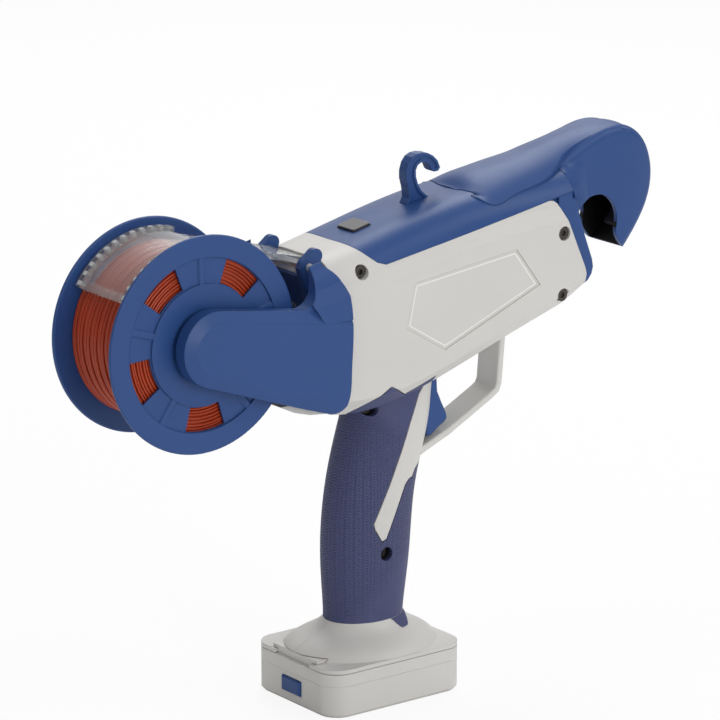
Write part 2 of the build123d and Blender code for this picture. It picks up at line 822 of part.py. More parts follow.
# The cheek above the arm keeps its full depth
CHEEK_ZONE = [(-59.0, 300.0), (-59.0, 226.0), (-51.0, 214.0), (0, 214.0), (0, 300.0)]
with BuildPart() as bevel_zone:
    for depth, width in ((BEVEL_DEPTH, 0.0), (0.0, BEVEL_WIDTH)):
        with BuildSketch(Plane.XZ.offset(ARM_OUTER - depth)):
            with BuildLine():
                arm_outline(ARM_END_RADIUS - width)
            make_face()
    loft(ruled=True)
    add(block(-200, 0, -ARM_OUTER + BEVEL_DEPTH, -ARM_INNER, 100, 300))
    add(side_prism(CHEEK_ZONE, -60, -ARM_INNER))
with BuildPart() as arm_form:
    with BuildSketch(Plane.XZ.offset(ARM_INNER)):
        with BuildLine():
            Line(*ARM_TOP)
            CenterArc((ARM_TOP[-1][0], POCKET_MIDDLE), POCKET_RADIUS, -90, 90)
            Polyline((POCKET_SIDE, POCKET_MIDDLE), (POCKET_SIDE, 252.0), (-47.0, 252.0), REAR_SEAM[0])
            Spline(*REAR_SEAM)
            Polyline(REAR_SEAM[-1], *ARM_BELLY, ARM_TOP[0])
        make_face()
        with Locations((SPOOL_X, SPOOL_Z)):
            Circle(ARM_END_RADIUS)
    extrude(amount=ARM_OUTER - ARM_INNER)
    add(bevel_zone.part, mode=Mode.INTERSECT)
    far_part = block(-200, -57.9, -60, 60, 100, 260)
    add(far_part + body_envelope(-4.0, 5.0), mode=Mode.INTERSECT)
AXLE_SEAT = -38.0
with BuildPart() as right_spool_arm:
    add(arm_form.part)
    add(rod_y(BORE_RADIUS - RUNNING_GAP, SPOOL_X, SPOOL_Z, AXLE_SEAT, -20), mode=Mode.SUBTRACT)
save(right_spool_arm, "right_spool_arm")
with BuildPart() as left_spool_arm:
    add(mirror(arm_form.part, about=Plane.XZ))
    add(rod_y(BORE_RADIUS, SPOOL_X, SPOOL_Z, 20, 60), mode=Mode.SUBTRACT)
save(left_spool_arm, "left_spool_arm")

# Fixed stub axle on the right and pull knob with its pin on the left
AXLE_TIP = 12.0
with BuildPart() as spool_axle:
    add(rod_y(BORE_RADIUS - RUNNING_GAP, SPOOL_X, SPOOL_Z, AXLE_SEAT, -AXLE_TIP))
    add(rod_y(12.0, SPOOL_X, SPOOL_Z, -ARM_INNER, -SPOOL_HALF - 0.6))
    chamfer(spool_axle.faces().sort_by(Axis.Y)[-1].edges(), 1.0)
save(spool_axle, "spool_axle")
KNOB_RADIUS = 13.0
with BuildPart() as release_knob:
    add(rod_y(BORE_RADIUS - RUNNING_GAP, SPOOL_X, SPOOL_Z, AXLE_TIP, 46))
    add(rod_y(KNOB_RADIUS, SPOOL_X, SPOOL_Z, ARM_OUTER + 0.4, 49))
    chamfer(release_knob.faces().sort_by(Axis.Y)[-1].edges(), 1.2)
    for index in range(12):
        angle = math.radians(30 * index)
        x = SPOOL_X + (KNOB_RADIUS + 1.0) * math.cos(angle)
        z = SPOOL_Z + (KNOB_RADIUS + 1.0) * math.sin(angle)
        add(rod_y(2.0, x, z, 42.5, 60), mode=Mode.SUBTRACT)
save(release_knob, "release_knob")

# Rear plate between the arms, with the wire inlet bushing and two hinge ears that end in a lug
LUG = (HINGE_X + 4.4, HINGE_Z + 5.0)
LUG_RADIUS = 3.9
EAR_NECK = [(HINGE_X - 3.9, HINGE_Z + 3.4), (LUG[0] - 2.9, LUG[1] + 2.6), (LUG[0] + 2.9, LUG[1] - 2.6)]
EAR_NECK = EAR_NECK + [(HINGE_X + 3.9, HINGE_Z - 3.4)]
with BuildPart() as rear_plate:
    add(block(-43.0, REAR_WALL_X - 0.05, -29.6, 29.6, 172, 231))
    for low in (-NECK_HALF - 0.5 - EAR_THICK, NECK_HALF + 0.5):
        ear = [(-47.0, 219.5), (-41.4, 219.5), (-41.4, 236.0), (-41.2, HINGE_Z)]
        ear = ear + [(-47.0, HINGE_Z + 2), (-52.8, HINGE_Z)]
        add(side_prism(ear, low, low + EAR_THICK))
        add(rod_y(5.2, HINGE_X, HINGE_Z, low, low + EAR_THICK))
        add(side_prism(EAR_NECK, low, low + EAR_THICK))
        add(rod_y(LUG_RADIUS, *LUG, low, low + EAR_THICK))
    add(rod_y(2.0, HINGE_X, HINGE_Z, -30, 30), mode=Mode.SUBTRACT)
    add(rod_along(5.0, on_wire_path(-60.0), WIRE_AXIS, 30), mode=Mode.SUBTRACT)
save(rear_plate, "rear_plate")
with BuildPart() as wire_inlet:
    with BuildSketch(Plane(origin=on_wire_path(-48.0), z_dir=WIRE_AXIS)):
        Circle(7.0)
    extrude(amount=3.2)
    with BuildSketch(Plane(origin=on_wire_path(-48.0), z_dir=WIRE_AXIS)):
        Circle(4.95)
    extrude(amount=14.0)
    add(rod_along(1.6, on_wire_path(-60.0), WIRE_AXIS, 60), mode=Mode.SUBTRACT)
save(wire_inlet, "wire_inlet")
with BuildPart() as hinge_pin:
    add(rod_y(2.0, HINGE_X, HINGE_Z, -NECK_HALF - 0.5 - EAR_THICK, NECK_HALF + 0.5 + EAR_THICK))
save(hinge_pin, "hinge_pin")

# Clear guard flap over the wire: curved pad, neck, hinge barrel and ladder ribs
RIB_COUNT = 12
middle_angle = (GUARD_START + GUARD_END) / 2
with BuildPart() as wire_guard:
    with BuildSketch(Plane.XZ.offset(-GUARD_HALF)):
        with BuildLine():
            ThreePointArc(
                polar(GUARD_OUTER, GUARD_START),
                polar(GUARD_OUTER, middle_angle),
                polar(GUARD_OUTER, GUARD_END),
            )
            Line(polar(GUARD_OUTER, GUARD_END), polar(GUARD_INNER, GUARD_END))
            ThreePointArc(
                polar(GUARD_INNER, GUARD_END),
                polar(GUARD_INNER, middle_angle),
                polar(GUARD_INNER, GUARD_START),
            )
            Line(polar(GUARD_INNER, GUARD_START), polar(GUARD_OUTER, GUARD_START))
        make_face()
    extrude(amount=2 * GUARD_HALF)
    neck_end = GUARD_START + 5
    neck = [polar(GUARD_OUTER - 0.2, neck_end), (HINGE_X, HINGE_Z + HINGE_RADIUS)]
    neck = neck + [(HINGE_X, HINGE_Z + 0.9), polar(GUARD_INNER + 0.2, neck_end)]
    add(side_prism(neck, -NECK_HALF, NECK_HALF))
    add(rod_y(HINGE_RADIUS, HINGE_X, HINGE_Z, -NECK_HALF, NECK_HALF))
    for index in range(RIB_COUNT):
        angle = GUARD_START + 2.5 + (GUARD_END - GUARD_START - 5.0) * index / (RIB_COUNT - 1)
        rib = [polar(GUARD_OUTER - 0.3, angle - 1.2), polar(GUARD_OUTER + 1.3, angle - 1.2)]
        rib = rib + [polar(GUARD_OUTER + 1.3, angle + 1.2), polar(GUARD_OUTER - 0.3, angle + 1.2)]
        add(side_prism(rib, -GUARD_HALF, -GUARD_HALF + 4.5))
        add(side_prism(rib, GUARD_HALF - 4.5, GUARD_HALF))
    add(rod_y(2.0 + RUNNING_GAP, HINGE_X, HINGE_Z, -30, 30), mode=Mode.SUBTRACT)
save(wire_guard, "wire_guard")


def window_prism(angle):
    """Sight window through a flange, centred on an angle."""
    first = angle - WINDOW_SPAN / 2
    last = angle + WINDOW_SPAN / 2
    with BuildPart() as window:
        with BuildSketch(Plane.XZ.offset(-60)):
            with BuildLine():
                outer = [polar(WINDOW_OUTER, bearing) for bearing in (first, angle, last)]
                ThreePointArc(*outer)
                Line(polar(WINDOW_OUTER, last), polar(WINDOW_INNER, last))
                inner = [polar(WINDOW_INNER, bearing) for bearing in (last, angle, first)]
                ThreePointArc(*inner)
                Line(polar(WINDOW_INNER, first), polar(WINDOW_OUTER, first))
            make_face()
        extrude(amount=120)
    return window.part


# Low rib across the recess, half way between two windows
RIB_WIDTH = 4.2
RIB_HEIGHT = 0.8
with BuildPart() as web_rib:
    add(block(HUB_RADIUS - 0.4, WINDOW_OUTER + 0.8, -RIB_HEIGHT, 0.2, -RIB_WIDTH / 2, RIB_WIDTH / 2))
    chamfer(web_rib.faces().sort_by(Axis.Y)[0].edges().filter_by(Axis.X), RIB_HEIGHT - 0.1)
web_rib.part.position = (0, -SPOOL_HALF + FLANGE_RECESS, 0)
# Right flange, drawn once and mirrored to the left
with BuildPart() as right_flange:
    add(rod_y(FLANGE_RADIUS, SPOOL_X, SPOOL_Z, -SPOOL_HALF, -SPOOL_HALF + FLANGE_THICK))
    rim = right_flange.edges().filter_by(GeomType.CIRCLE)
    fillet(rim, 0.9)
    ring = rod_y(WINDOW_OUTER + 0.4, SPOOL_X, SPOOL_Z, -40, -SPOOL_HALF + FLANGE_RECESS)
    ring = ring - rod_y(HUB_RADIUS, SPOOL_X, SPOOL_Z, -40, 0)
    add(ring, mode=Mode.SUBTRACT)
    for index in range(WINDOW_COUNT):
        bearing = FIRST_WINDOW + 360 / WINDOW_COUNT * index
        add(window_prism(bearing), mode=Mode.SUBTRACT)
        add(Location((SPOOL_X, 0, SPOOL_Z), (0, -bearing - 180 / WINDOW_COUNT, 0)) * web_rib.part)
    add(rod_y(BORE_RADIUS, SPOOL_X, SPOOL_Z, -40, 0), mode=Mode.SUBTRACT)
save(right_flange, "right_flange")
with BuildPart() as left_flange:
    add(mirror(right_flange.part, about=Plane.XZ))
save(left_flange, "left_flange")
with BuildPart() as spool_core:
    add(rod_y(CORE_RADIUS, SPOOL_X, SPOOL_Z, -SPOOL_HALF + FLANGE_THICK, SPOOL_HALF - FLANGE_THICK))
    add(rod_y(BORE_RADIUS, SPOOL_X, SPOOL_Z, -40, 40), mode=Mode.SUBTRACT)
save(spool_core, "spool_core")
DRUM_HALF = SPOOL_HALF - FLANGE_THICK
with BuildPart() as wire_pack:
    add(rod_y(PACK_RADIUS, SPOOL_X, SPOOL_Z, -DRUM_HALF, DRUM_HALF))
    add(rod_y(CORE_RADIUS, SPOOL_X, SPOOL_Z, -40, 40), mode=Mode.SUBTRACT)
save(wire_pack, "wire_pack")

# Outer layer of the winding: one tube on half-turn biarcs
WIND_RADIUS = PACK_RADIUS + WIRE_DIAMETER / 2 + 0.1
WIND_FIRST_Y = -DRUM_HALF + WIRE_DIAMETER + WIRE_BEND
WIND_LAST_Y = DRUM_HALF - WIRE_DIAMETER / 2 - 0.3
WIND_LAST_ANGLE = -46.9
WIND_RISE = WIND_LAST_Y - WIND_FIRST_Y


def wind_point(turn):
    """Middle of the wire after a number of turns."""
    angle = math.radians(WIND_LAST_ANGLE - 360 * (WIRE_TURNS - turn))
    x = SPOOL_X + WIND_RADIUS * math.cos(angle)
    z = SPOOL_Z + WIND_RADIUS * math.sin(angle)
    return Vector(x, WIND_FIRST_Y + WIND_RISE * turn / WIRE_TURNS, z)


def wind_heading(turn):
    """Direction of the wire after a number of turns."""
    angle = math.radians(WIND_LAST_ANGLE - 360 * (WIRE_TURNS - turn))
    slope = WIND_RISE / (WIRE_TURNS * 2 * math.pi)
    return Vector(-WIND_RADIUS * math.sin(angle), slope, WIND_RADIUS * math.cos(angle)).normalized()


def arc_middle(start, apex, end):
    """Middle of the arc that leaves start towards apex and arrives at end."""
    chord = (start + end) * 0.5
    half = (end - start).length / 2
    rise = (apex - chord).length
    return chord + (apex - chord) * (half * math.tan(math.atan2(rise, half) / 2) / rise)


def biarc(start, start_heading, end, end_heading):
    """Two tangent arcs between two points with given headings, as point triples."""
    span = end - start
    heading_sum = start_heading + end_heading
    a = 2 * start_heading.dot(end_heading) - 2
    b = -2 * span.dot(heading_sum)
    c = span.dot(span)
    if abs(a) < 1e-9:
        reach = -c / b
    else:
        reach = (-b - math.sqrt(b * b - 4 * a * c)) / (2 * a)
    first_apex = start + start_heading * reach
    last_apex = end - end_heading * reach
    joint = (first_apex + last_apex) * 0.5
    first = (start, arc_middle(start, first_apex, joint), joint)
    last = (joint, arc_middle(joint, last_apex, end), end)
    return [first, last]


start_heading = wind_heading(0)
bend_end = wind_point(0)
bend_start = bend_end - start_heading * WIRE_BEND - Vector(0, WIRE_BEND, 0)
tube_start = Vector(bend_start.X, -DRUM_HALF, bend_start.Z)
arcs = biarc(bend_start, Vector(0, 1, 0), bend_end, start_heading)
half_turns = int(round(WIRE_TURNS * 2))
for index in range(half_turns):
    turn = index / 2
    later = turn + 0.5
    arcs = arcs + biarc(wind_point(turn), wind_heading(turn), wind_point(later), wind_heading(later))
tube_end = wind_point(WIRE_TURNS) + wind_heading(WIRE_TURNS) * WIRE_DIAMETER
with BuildPart() as wire_winding:
    with BuildLine() as wind_path:
        Line(tube_start, bend_start)
        for first, middle, last in arcs:
            ThreePointArc(first, middle, last)
        Line(arcs[-1][2], tube_end)
    with BuildSketch(Plane(origin=tube_start, z_dir=(0, 1, 0))):
        Circle(WIRE_DIAMETER / 2)
    sweep(path=wind_path.wires()[0])
save(wire_winding, "wire_winding")

# Least gap between neighbouring turns, on points along the tube
wind_wire = wind_path.wires()[0]
SAMPLE_COUNT = 6000
samples = [wind_wire @ (index / SAMPLE_COUNT) for index in range(SAMPLE_COUNT + 1)]
spacing = wind_wire.length / SAMPLE_COUNT
one_turn = int(2 * math.pi * WIND_RADIUS / spacing)
least = 1000.0
for index, point in enumerate(samples):
    for other in samples[index + one_turn - 12:index + one_turn + 12]:
        least = min(least, (point - other).length - WIRE_DIAMETER)
print("winding least gap", round(least, 3), "mm, length", round(wind_wire.length, 1), "mm")

# Wire from the spool to the cutter, through the inlet and the feed wheels
LEAD_CLEAR = 0.6
LEAD_STRAIGHT = 5.0
TUBE_END_X = 118.0
CUTTER_GAP = 0.1
lead_reach = math.sqrt((WIND_RADIUS + WIRE_DIAMETER + LEAD_CLEAR) ** 2 - WIND_RADIUS ** 2)
lead_start = wind_point(WIRE_TURNS) + wind_heading(WIRE_TURNS) * lead_reach
lead_bend = lead_start + wind_heading(WIRE_TURNS) * LEAD_STRAIGHT
inlet_mouth = Vector(*on_wire_path(-52.0))
wire_exit = Vector(*on_wire_path(TUBE_END_X))
with BuildPart() as wire_lead:
    with BuildLine() as lead_path:
        FilletPolyline(lead_start, lead_bend, inlet_mouth, wire_exit, radius=9.0)
    with BuildSketch(Plane(origin=lead_start, z_dir=wind_heading(WIRE_TURNS))):
        Circle(WIRE_DIAMETER / 2)
    sweep(path=lead_path.wires()[0])
save(wire_lead, "wire_lead")

# Feed wheels: driven wheel under the wire, pinch wheel over it
FEED_X = 5.0
FEED_RADIUS = 10.9
PINCH_RADIUS = 8.9
WHEEL_HALF = 4.0
NIP = 0.1
feed_drop = FEED_RADIUS + WIRE_DIAMETER / 2 + NIP
pinch_rise = PINCH_RADIUS + WIRE_DIAMETER / 2 + NIP
nip_point = on_wire_path(FEED_X)
FEED_CENTRE = (nip_point[0] + feed_drop * math.sin(path), nip_point[2] - feed_drop * math.cos(path))
PINCH_CENTRE = (nip_point[0] - pinch_rise * math.sin(path), nip_point[2] + pinch_rise * math.cos(path))
SHAFT_RADIUS = 2.5
PLATE_LOW = 4.7
PLATE_HIGH = 7.7
with BuildPart() as feed_wheel:
    add(rod_y(FEED_RADIUS, FEED_CENTRE[0], FEED_CENTRE[1], -WHEEL_HALF, WHEEL_HALF))
    add(rod_y(SHAFT_RADIUS, FEED_CENTRE[0], FEED_CENTRE[1], -WHEEL_HALF, PLATE_HIGH + 6))
save(feed_wheel, "feed_wheel")
with BuildPart() as feed_motor:
    add(rod_y(15.5, FEED_CENTRE[0], FEED_CENTRE[1] - 2, PLATE_HIGH, BODY_HALF - WALL))
    shaft_hole = rod_y(SHAFT_RADIUS + RUNNING_GAP, FEED_CENTRE[0], FEED_CENTRE[1], 0, PLATE_HIGH + 7)
    add(shaft_hole, mode=Mode.SUBTRACT)
save(feed_motor, "feed_motor")
with BuildPart() as pinch_wheel:
    add(rod_y(PINCH_RADIUS, PINCH_CENTRE[0], PINCH_CENTRE[1], -WHEEL_HALF, WHEEL_HALF))
    add(rod_y(2.0 + RUNNING_GAP, PINCH_CENTRE[0], PINCH_CENTRE[1], -10, 10), mode=Mode.SUBTRACT)
save(pinch_wheel, "pinch_wheel")
with BuildPart() as pinch_axle:
    add(rod_y(2.0, PINCH_CENTRE[0], PINCH_CENTRE[1], -5.6, PLATE_HIGH))
    add(rod_y(3.2, PINCH_CENTRE[0], PINCH_CENTRE[1], -5.6, -WHEEL_HALF - 0.3))
save(pinch_axle, "pinch_axle")
with BuildPart() as feed_plate:
    plate = [(-14.0, 190.0), (26.0, 190.0), (26.0, 214.0), (12.0, 236.0), (-8.0, 236.0), (-14.0, 224.0)]
    add(rounded_prism(plate, 3.0, PLATE_LOW, PLATE_HIGH))
    add(rod_y(SHAFT_RADIUS + 0.6, FEED_CENTRE[0], FEED_CENTRE[1], 0, 20), mode=Mode.SUBTRACT)
    add(rod_y(2.0, PINCH_CENTRE[0], PINCH_CENTRE[1], 0, 20), mode=Mode.SUBTRACT)
save(feed_plate, "feed_plate")
with BuildPart() as wire_tube:
    tube_low = on_wire_path(24.0)
    tube_length = (TUBE_END_X - 24.0) / math.cos(path)
    add(rod_along(2.9, tube_low, WIRE_AXIS, tube_length))
    add(rod_along(1.4, on_wire_path(0.0), WIRE_AXIS, 200), mode=Mode.SUBTRACT)
save(wire_tube, "wire_tube")

# Twister: motor, mount plate and the turning hook in the mouth
MOTOR_START = 47.0
MOTOR_END = 99.0
with BuildPart() as twist_motor:
    add(rod_along(13.5, on_twist_axis(MOTOR_START), TWIST_AXIS, (MOTOR_END - MOTOR_START) / math.cos(twist)))
    add(rod_along(3.0 + RUNNING_GAP, on_twist_axis(MOTOR_END - 14), TWIST_AXIS, 60), mode=Mode.SUBTRACT)
save(twist_motor, "twist_motor")
with BuildPart() as twist_mount:
    with BuildSketch(Plane(origin=on_twist_axis(MOTOR_END), x_dir=(0, 1, 0), z_dir=TWIST_AXIS)):
        Rectangle(2 * CORE_HALF - 6, 26)
    extrude(amount=3)
    add(rod_along(5.0, on_twist_axis(60), TWIST_AXIS, 80), mode=Mode.SUBTRACT)
save(twist_mount, "twist_mount")
SHAFT_START = MOTOR_END - 12
FACE_X = 133.5
HOOK_PLANE = Plane(origin=on_twist_axis(FACE_X), x_dir=(0, 1, 0), z_dir=TWIST_AXIS)
with BuildPart() as twist_hook:
    add(rod_along(3.0, on_twist_axis(SHAFT_START), TWIST_AXIS, (120 - SHAFT_START) / math.cos(twist)))
    add(rod_along(TWISTER_RADIUS, on_twist_axis(112), TWIST_AXIS, (FACE_X - 112) / math.cos(twist)))
    with BuildSketch(HOOK_PLANE):
        with Locations((-4.4, 0), (4.4, 0)):
            Rectangle(2.6, 7.0)
    extrude(amount=4.5)
    with BuildSketch(HOOK_PLANE.offset(4.5)):
        with Locations((-3.2, 2.2), (3.2, -2.2)):
            Rectangle(5.0, 2.6)
    extrude(amount=1.8)
save(twist_hook, "twist_hook")
with BuildPart() as cutter_blade:
    with BuildSketch(Plane(origin=on_wire_path(TUBE_END_X + CUTTER_GAP), x_dir=(0, 1, 0), z_dir=WIRE_AXIS)):
        Rectangle(16, 9)
        Circle(1.5, mode=Mode.SUBTRACT)
    extrude(amount=1.6)
save(cutter_blade, "cutter_blade")

# Trigger, its pin, the switch behind it and the guard strap
TRIGGER_OUTLINE = [
    (50.5, 184.5),
    (50.5, 172.0),
    (46.4, 163.0),
    (46.8, 156.0),
    (49.6, 149.6),
    (52.6, 143.6),
    (53.4, 140.6),
    (51.8, 138.6),
    (46.4, 135.4),
    (41.8, 132.2),
    (38.9, 132.6),
    (38.6, 140.0),
    (38.8, 150.0),
    (39.0, 162.0),
    (38.0, 172.0),
    (38.0, 184.5),
]
with BuildPart() as trigger:
    add(rounded_prism(TRIGGER_OUTLINE, 1.2, -TRIGGER_HALF, TRIGGER_HALF))
    finger_edges = trigger.edges().filter_by(lambda e: (e @ 0.5).X > 45 and 138.5 < (e @ 0.5).Z < 164)
    fillet(finger_edges.filter_by(lambda e: abs((e @ 0.5).Y) > TRIGGER_HALF - 0.1), 1.6)
    add(rod_y(1.6 + RUNNING_GAP, TRIGGER_PIVOT_X, TRIGGER_PIVOT_Z, -20, 20), mode=Mode.SUBTRACT)
save(trigger, "trigger")
with BuildPart() as trigger_pin:
    add(rod_y(1.6, TRIGGER_PIVOT_X, TRIGGER_PIVOT_Z, -14, 14))
save(trigger_pin, "trigger_pin")
STRAP_OUTER = [
    (92.4, 200.0),
    (88.4, 154.0),
    (86.6, 149.6),
    (82.6, 146.8),
    (53.0, 131.4),
    (45.0, 128.2),
    (34.0, 123.6),
]
STRAP_THICK = 3.8
STRAP_INNER = inset_path(STRAP_OUTER, STRAP_THICK)
with BuildPart() as trigger_guard:
    with BuildSketch(Plane.XZ.offset(-GUARD_STRAP_HALF)):
        with BuildLine():
            Polyline(*STRAP_OUTER, *reversed(STRAP_INNER), close=True)
        make_face()
    extrude(amount=2 * GUARD_STRAP_HALF)
    long_edges = trigger_guard.edges().filter_by(lambda e: abs((e @ 0.5).Y) > GUARD_STRAP_HALF - 0.1)
    fillet(long_edges.filter_by(lambda e: 126 < (e @ 0.5).Z < 185), 1.2)
    add(BODY_OUTER, mode=Mode.SUBTRACT)
    add(GRIP_OUTER, mode=Mode.SUBTRACT)
save(trigger_guard, "trigger_guard")
with BuildPart() as trigger_switch:
    add(block(20, 37.2, -6, 6, 176.5, 190))
    add(BODY_INNER & CAVITY, mode=Mode.INTERSECT)
save(trigger_switch, "trigger_switch")

# Grip coverings, one on each shell
with BuildPart() as cover_form:
    add(GRIP_OUTER)
    add(GRIP_CORE, mode=Mode.SUBTRACT)
    add(COVER_REGION, mode=Mode.INTERSECT)
    add(strip_room.part, mode=Mode.SUBTRACT)
    add(BODY_OUTER, mode=Mode.SUBTRACT)
    add(TRIGGER_SLOT, mode=Mode.SUBTRACT)
    add(COVER_LAP)


def grip_cover(sign):
    """Covering of one half, with the screw holes on the right."""
    with BuildPart() as cover:
        add(cover_form.part)
        low = -60 if sign < 0 else 0
        add(block(-200, 200, low, low + 60, 0, 320), mode=Mode.INTERSECT)
        if sign < 0:
            for x, z, seat, tip in LONG_SCREWS:
                add(rod_y(HEAD_RADIUS + 0.5, x, z, -60, seat), mode=Mode.SUBTRACT)
    return cover


right_grip = grip_cover(-1)
save(right_grip, "right_grip")
left_grip = grip_cover(1)
save(left_grip, "left_grip")

# Control board on two posts that stand on the right wall
with BuildPart() as control_board:
    add(block(30, 88, -25.0, -23.4, 196, 222))
    add(block(40, 52, -23.4, -18.0, 202, 214))
    add(block(62, 70, -23.4, -16.5, 206, 214))
    for x in (35.0, 83.0):
        add(rod_y(2.4, x, 216.0, -BODY_HALF + WALL + RUNNING_GAP, -25.0))
save(control_board, "control_board")

# Battery: case, lid with its slide rail, cells, latch and contact blades
CASE_HEIGHT = 17.0
with BuildPart() as battery_case:
    with BuildSketch():
        RectangleRounded(FOOT_LENGTH, FOOT_WIDTH, 12)
    extrude(amount=CASE_HEIGHT)
    with BuildSketch(Plane.XY.offset(2.0)):
        RectangleRounded(FOOT_LENGTH - 4.8, FOOT_WIDTH - 4.8, 7.0)
    extrude(amount=40, mode=Mode.SUBTRACT)
    chamfer(battery_case.faces().sort_by(Axis.Z)[0].outer_wire().edges(), 1.5)
    add(block(-60, -40.5, -8.3, 8.3, 5.7, 14.3), mode=Mode.SUBTRACT)
save(battery_case, "battery_case")
with BuildPart() as battery_lid:
    with BuildSketch(Plane.XY.offset(CASE_HEIGHT)):
        RectangleRounded(FOOT_LENGTH, FOOT_WIDTH, 12)
    extrude(amount=BATTERY_HEIGHT - CASE_HEIGHT)
    with BuildSketch(Plane.XY.offset(CASE_HEIGHT)):
        RectangleRounded(FOOT_LENGTH - 4.8, FOOT_WIDTH - 4.8, 7.0)
    extrude(amount=BATTERY_HEIGHT - CASE_HEIGHT - 2.2, mode=Mode.SUBTRACT)
    add(block(-42, 31, -15, 15, BATTERY_HEIGHT, FOOT_BOTTOM + 2.1))
    add(block(-42, 31, -19, 19, FOOT_BOTTOM + 2.1, FOOT_BOTTOM + 3.9))
    for y in (-BLADE_SPACING, BLADE_SPACING):
        add(block(6, 40, y - 1.0, y + 1.0, FOOT_BOTTOM + 0.2, 40), mode=Mode.SUBTRACT)
save(battery_lid, "battery_lid")
with BuildPart() as battery_cells:
    for index in range(CELL_COUNT):
        x = (index - (CELL_COUNT - 1) / 2) * (2 * CELL_RADIUS + 0.2)
        add(rod_y(CELL_RADIUS, x, 2.0 + CELL_RADIUS, -CELL_LENGTH / 2, CELL_LENGTH / 2))
save(battery_cells, "battery_cells")
with BuildPart() as battery_latch:
    add(block(-45.4, -41.2, -8, 8, 6, 14))
    fillet(battery_latch.faces().sort_by(Axis.X)[0].edges(), 1.0)
    add(block(-41.2, -40.2, -10, 10, 4.5, 15.5))
save(battery_latch, "battery_latch")
with BuildPart() as contact_blades:
    for y in (-BLADE_SPACING, BLADE_SPACING):
        add(block(8, 20, y - 0.4, y + 0.4, FOOT_BOTTOM + 1.0, BLADE_TOP))
save(contact_blades, "contact_blades")
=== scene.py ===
import bpy
import bmesh
import math
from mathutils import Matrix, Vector


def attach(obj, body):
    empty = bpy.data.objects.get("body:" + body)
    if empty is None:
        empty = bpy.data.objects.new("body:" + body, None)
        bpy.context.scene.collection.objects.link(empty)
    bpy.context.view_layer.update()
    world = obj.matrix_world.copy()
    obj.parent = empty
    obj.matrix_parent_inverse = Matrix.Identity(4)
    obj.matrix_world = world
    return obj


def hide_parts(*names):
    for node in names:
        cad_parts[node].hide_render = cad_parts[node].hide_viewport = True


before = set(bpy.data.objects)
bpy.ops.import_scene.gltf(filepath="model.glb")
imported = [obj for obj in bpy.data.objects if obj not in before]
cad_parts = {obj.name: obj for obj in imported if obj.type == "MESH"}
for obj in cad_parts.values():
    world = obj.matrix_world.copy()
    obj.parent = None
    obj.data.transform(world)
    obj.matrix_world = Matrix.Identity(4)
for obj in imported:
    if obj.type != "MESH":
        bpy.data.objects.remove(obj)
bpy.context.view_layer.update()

# Body shells, trigger guard and battery case
# Injection-moulded ABS in warm light grey, two shells screwed together at the middle.
# The mould is spark eroded, so the plastic is satin with a very fine grain.


def tint(code):
    """Linear colour of an sRGB hex value."""
    parts = [int(code[i:i + 2], 16) / 255 for i in (1, 3, 5)]
    return [p / 12.92 if p <= 0.04045 else ((p + 0.055) / 1.055) ** 2.4 for p in parts] + [1.0]


def start_finish(name):
    """New material with an empty node tree, and that tree."""
    finish = bpy.data.materials.new(name)
    finish.use_nodes = True
    finish.node_tree.nodes.clear()
    return finish, finish.node_tree


def knot(tree, kind, sockets=None, **settings):
    """Add one shader node with its settings, values and links."""
    made = tree.nodes.new(kind)
    for key, value in settings.items():
        setattr(made, key, value)
    for key, value in (sockets or {}).items():
        if isinstance(value, bpy.types.NodeSocket):
            tree.links.new(value, made.inputs[key])
        else:
            made.inputs[key].default_value = value
    return made


def dress(finish, *names):
    """Give a finish to frame nodes."""
    for name in names:
        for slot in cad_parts[name].material_slots:
            slot.material = finish


# A mix node takes its two colours and gives the mixed one at these sockets.
TINT_A = 6
TINT_B = 7
TINT_OUT = 2
LOW_BORE = (0.004, 0.0, 0.0776)
HIGH_BORE = (-0.002, 0.0, 0.1556)
BORE_SHADE_RADIUS = 0.0041
grey_abs, tree = start_finish("grey_abs_satin_moulded")
place = knot(tree, "ShaderNodeTexCoord").outputs["Object"]
# Spark-eroded grain is about 0.25 mm; drawn at 0.5 mm so that it shows.
grain = knot(tree, "ShaderNodeTexNoise", {"Vector": place, "Scale": 2000.0, "Detail": 2.0})
# Colour and gloss vary very little, in clouds about 45 mm wide.
cloud = knot(tree, "ShaderNodeTexNoise", {"Vector": place, "Scale": 22.0, "Detail": 3.0})
shade = knot(tree, "ShaderNodeMix", {"Factor": cloud.outputs["Fac"], TINT_A: tint("#c9c7c3"),
                                     TINT_B: tint("#d0ceca")}, data_type="RGBA")
gloss = knot(tree, "ShaderNodeMapRange", {"Value": cloud.outputs["Fac"], "To Min": 0.40, "To Max": 0.50})
# The grip's elastomer runs into its two screw bores and lines them, 4.1 mm round the middle of each; there
# it is painted much darker than the grip, as painted shade in the bores.
flat = knot(tree, "ShaderNodeVectorMath", {0: place, 1: (1.0, 0.0, 1.0)}, operation="MULTIPLY")
low = knot(tree, "ShaderNodeVectorMath", {0: flat.outputs[0], 1: LOW_BORE}, operation="DISTANCE")
high = knot(tree, "ShaderNodeVectorMath", {0: flat.outputs[0], 1: HIGH_BORE}, operation="DISTANCE")
nearer = knot(tree, "ShaderNodeMath", {0: low.outputs["Value"], 1: high.outputs["Value"]},
              operation="MINIMUM")
in_bore = knot(tree, "ShaderNodeMath", {0: nearer.outputs[0], 1: BORE_SHADE_RADIUS}, operation="LESS_THAN")
# The dark blue violet in the bores is painted shade.
shade = knot(tree, "ShaderNodeMix", {"Factor": in_bore.outputs[0], TINT_A: shade.outputs[TINT_OUT],
                                     TINT_B: tint("#191b2c")}, data_type="RGBA")
edge = knot(tree, "ShaderNodeBevel", {"Radius": 0.0006}, samples=4)
relief = knot(tree, "ShaderNodeBump", {"Strength": 0.10, "Distance": 0.00006,
                                       "Height": grain.outputs["Fac"],
                                       "Normal": edge.outputs["Normal"]})
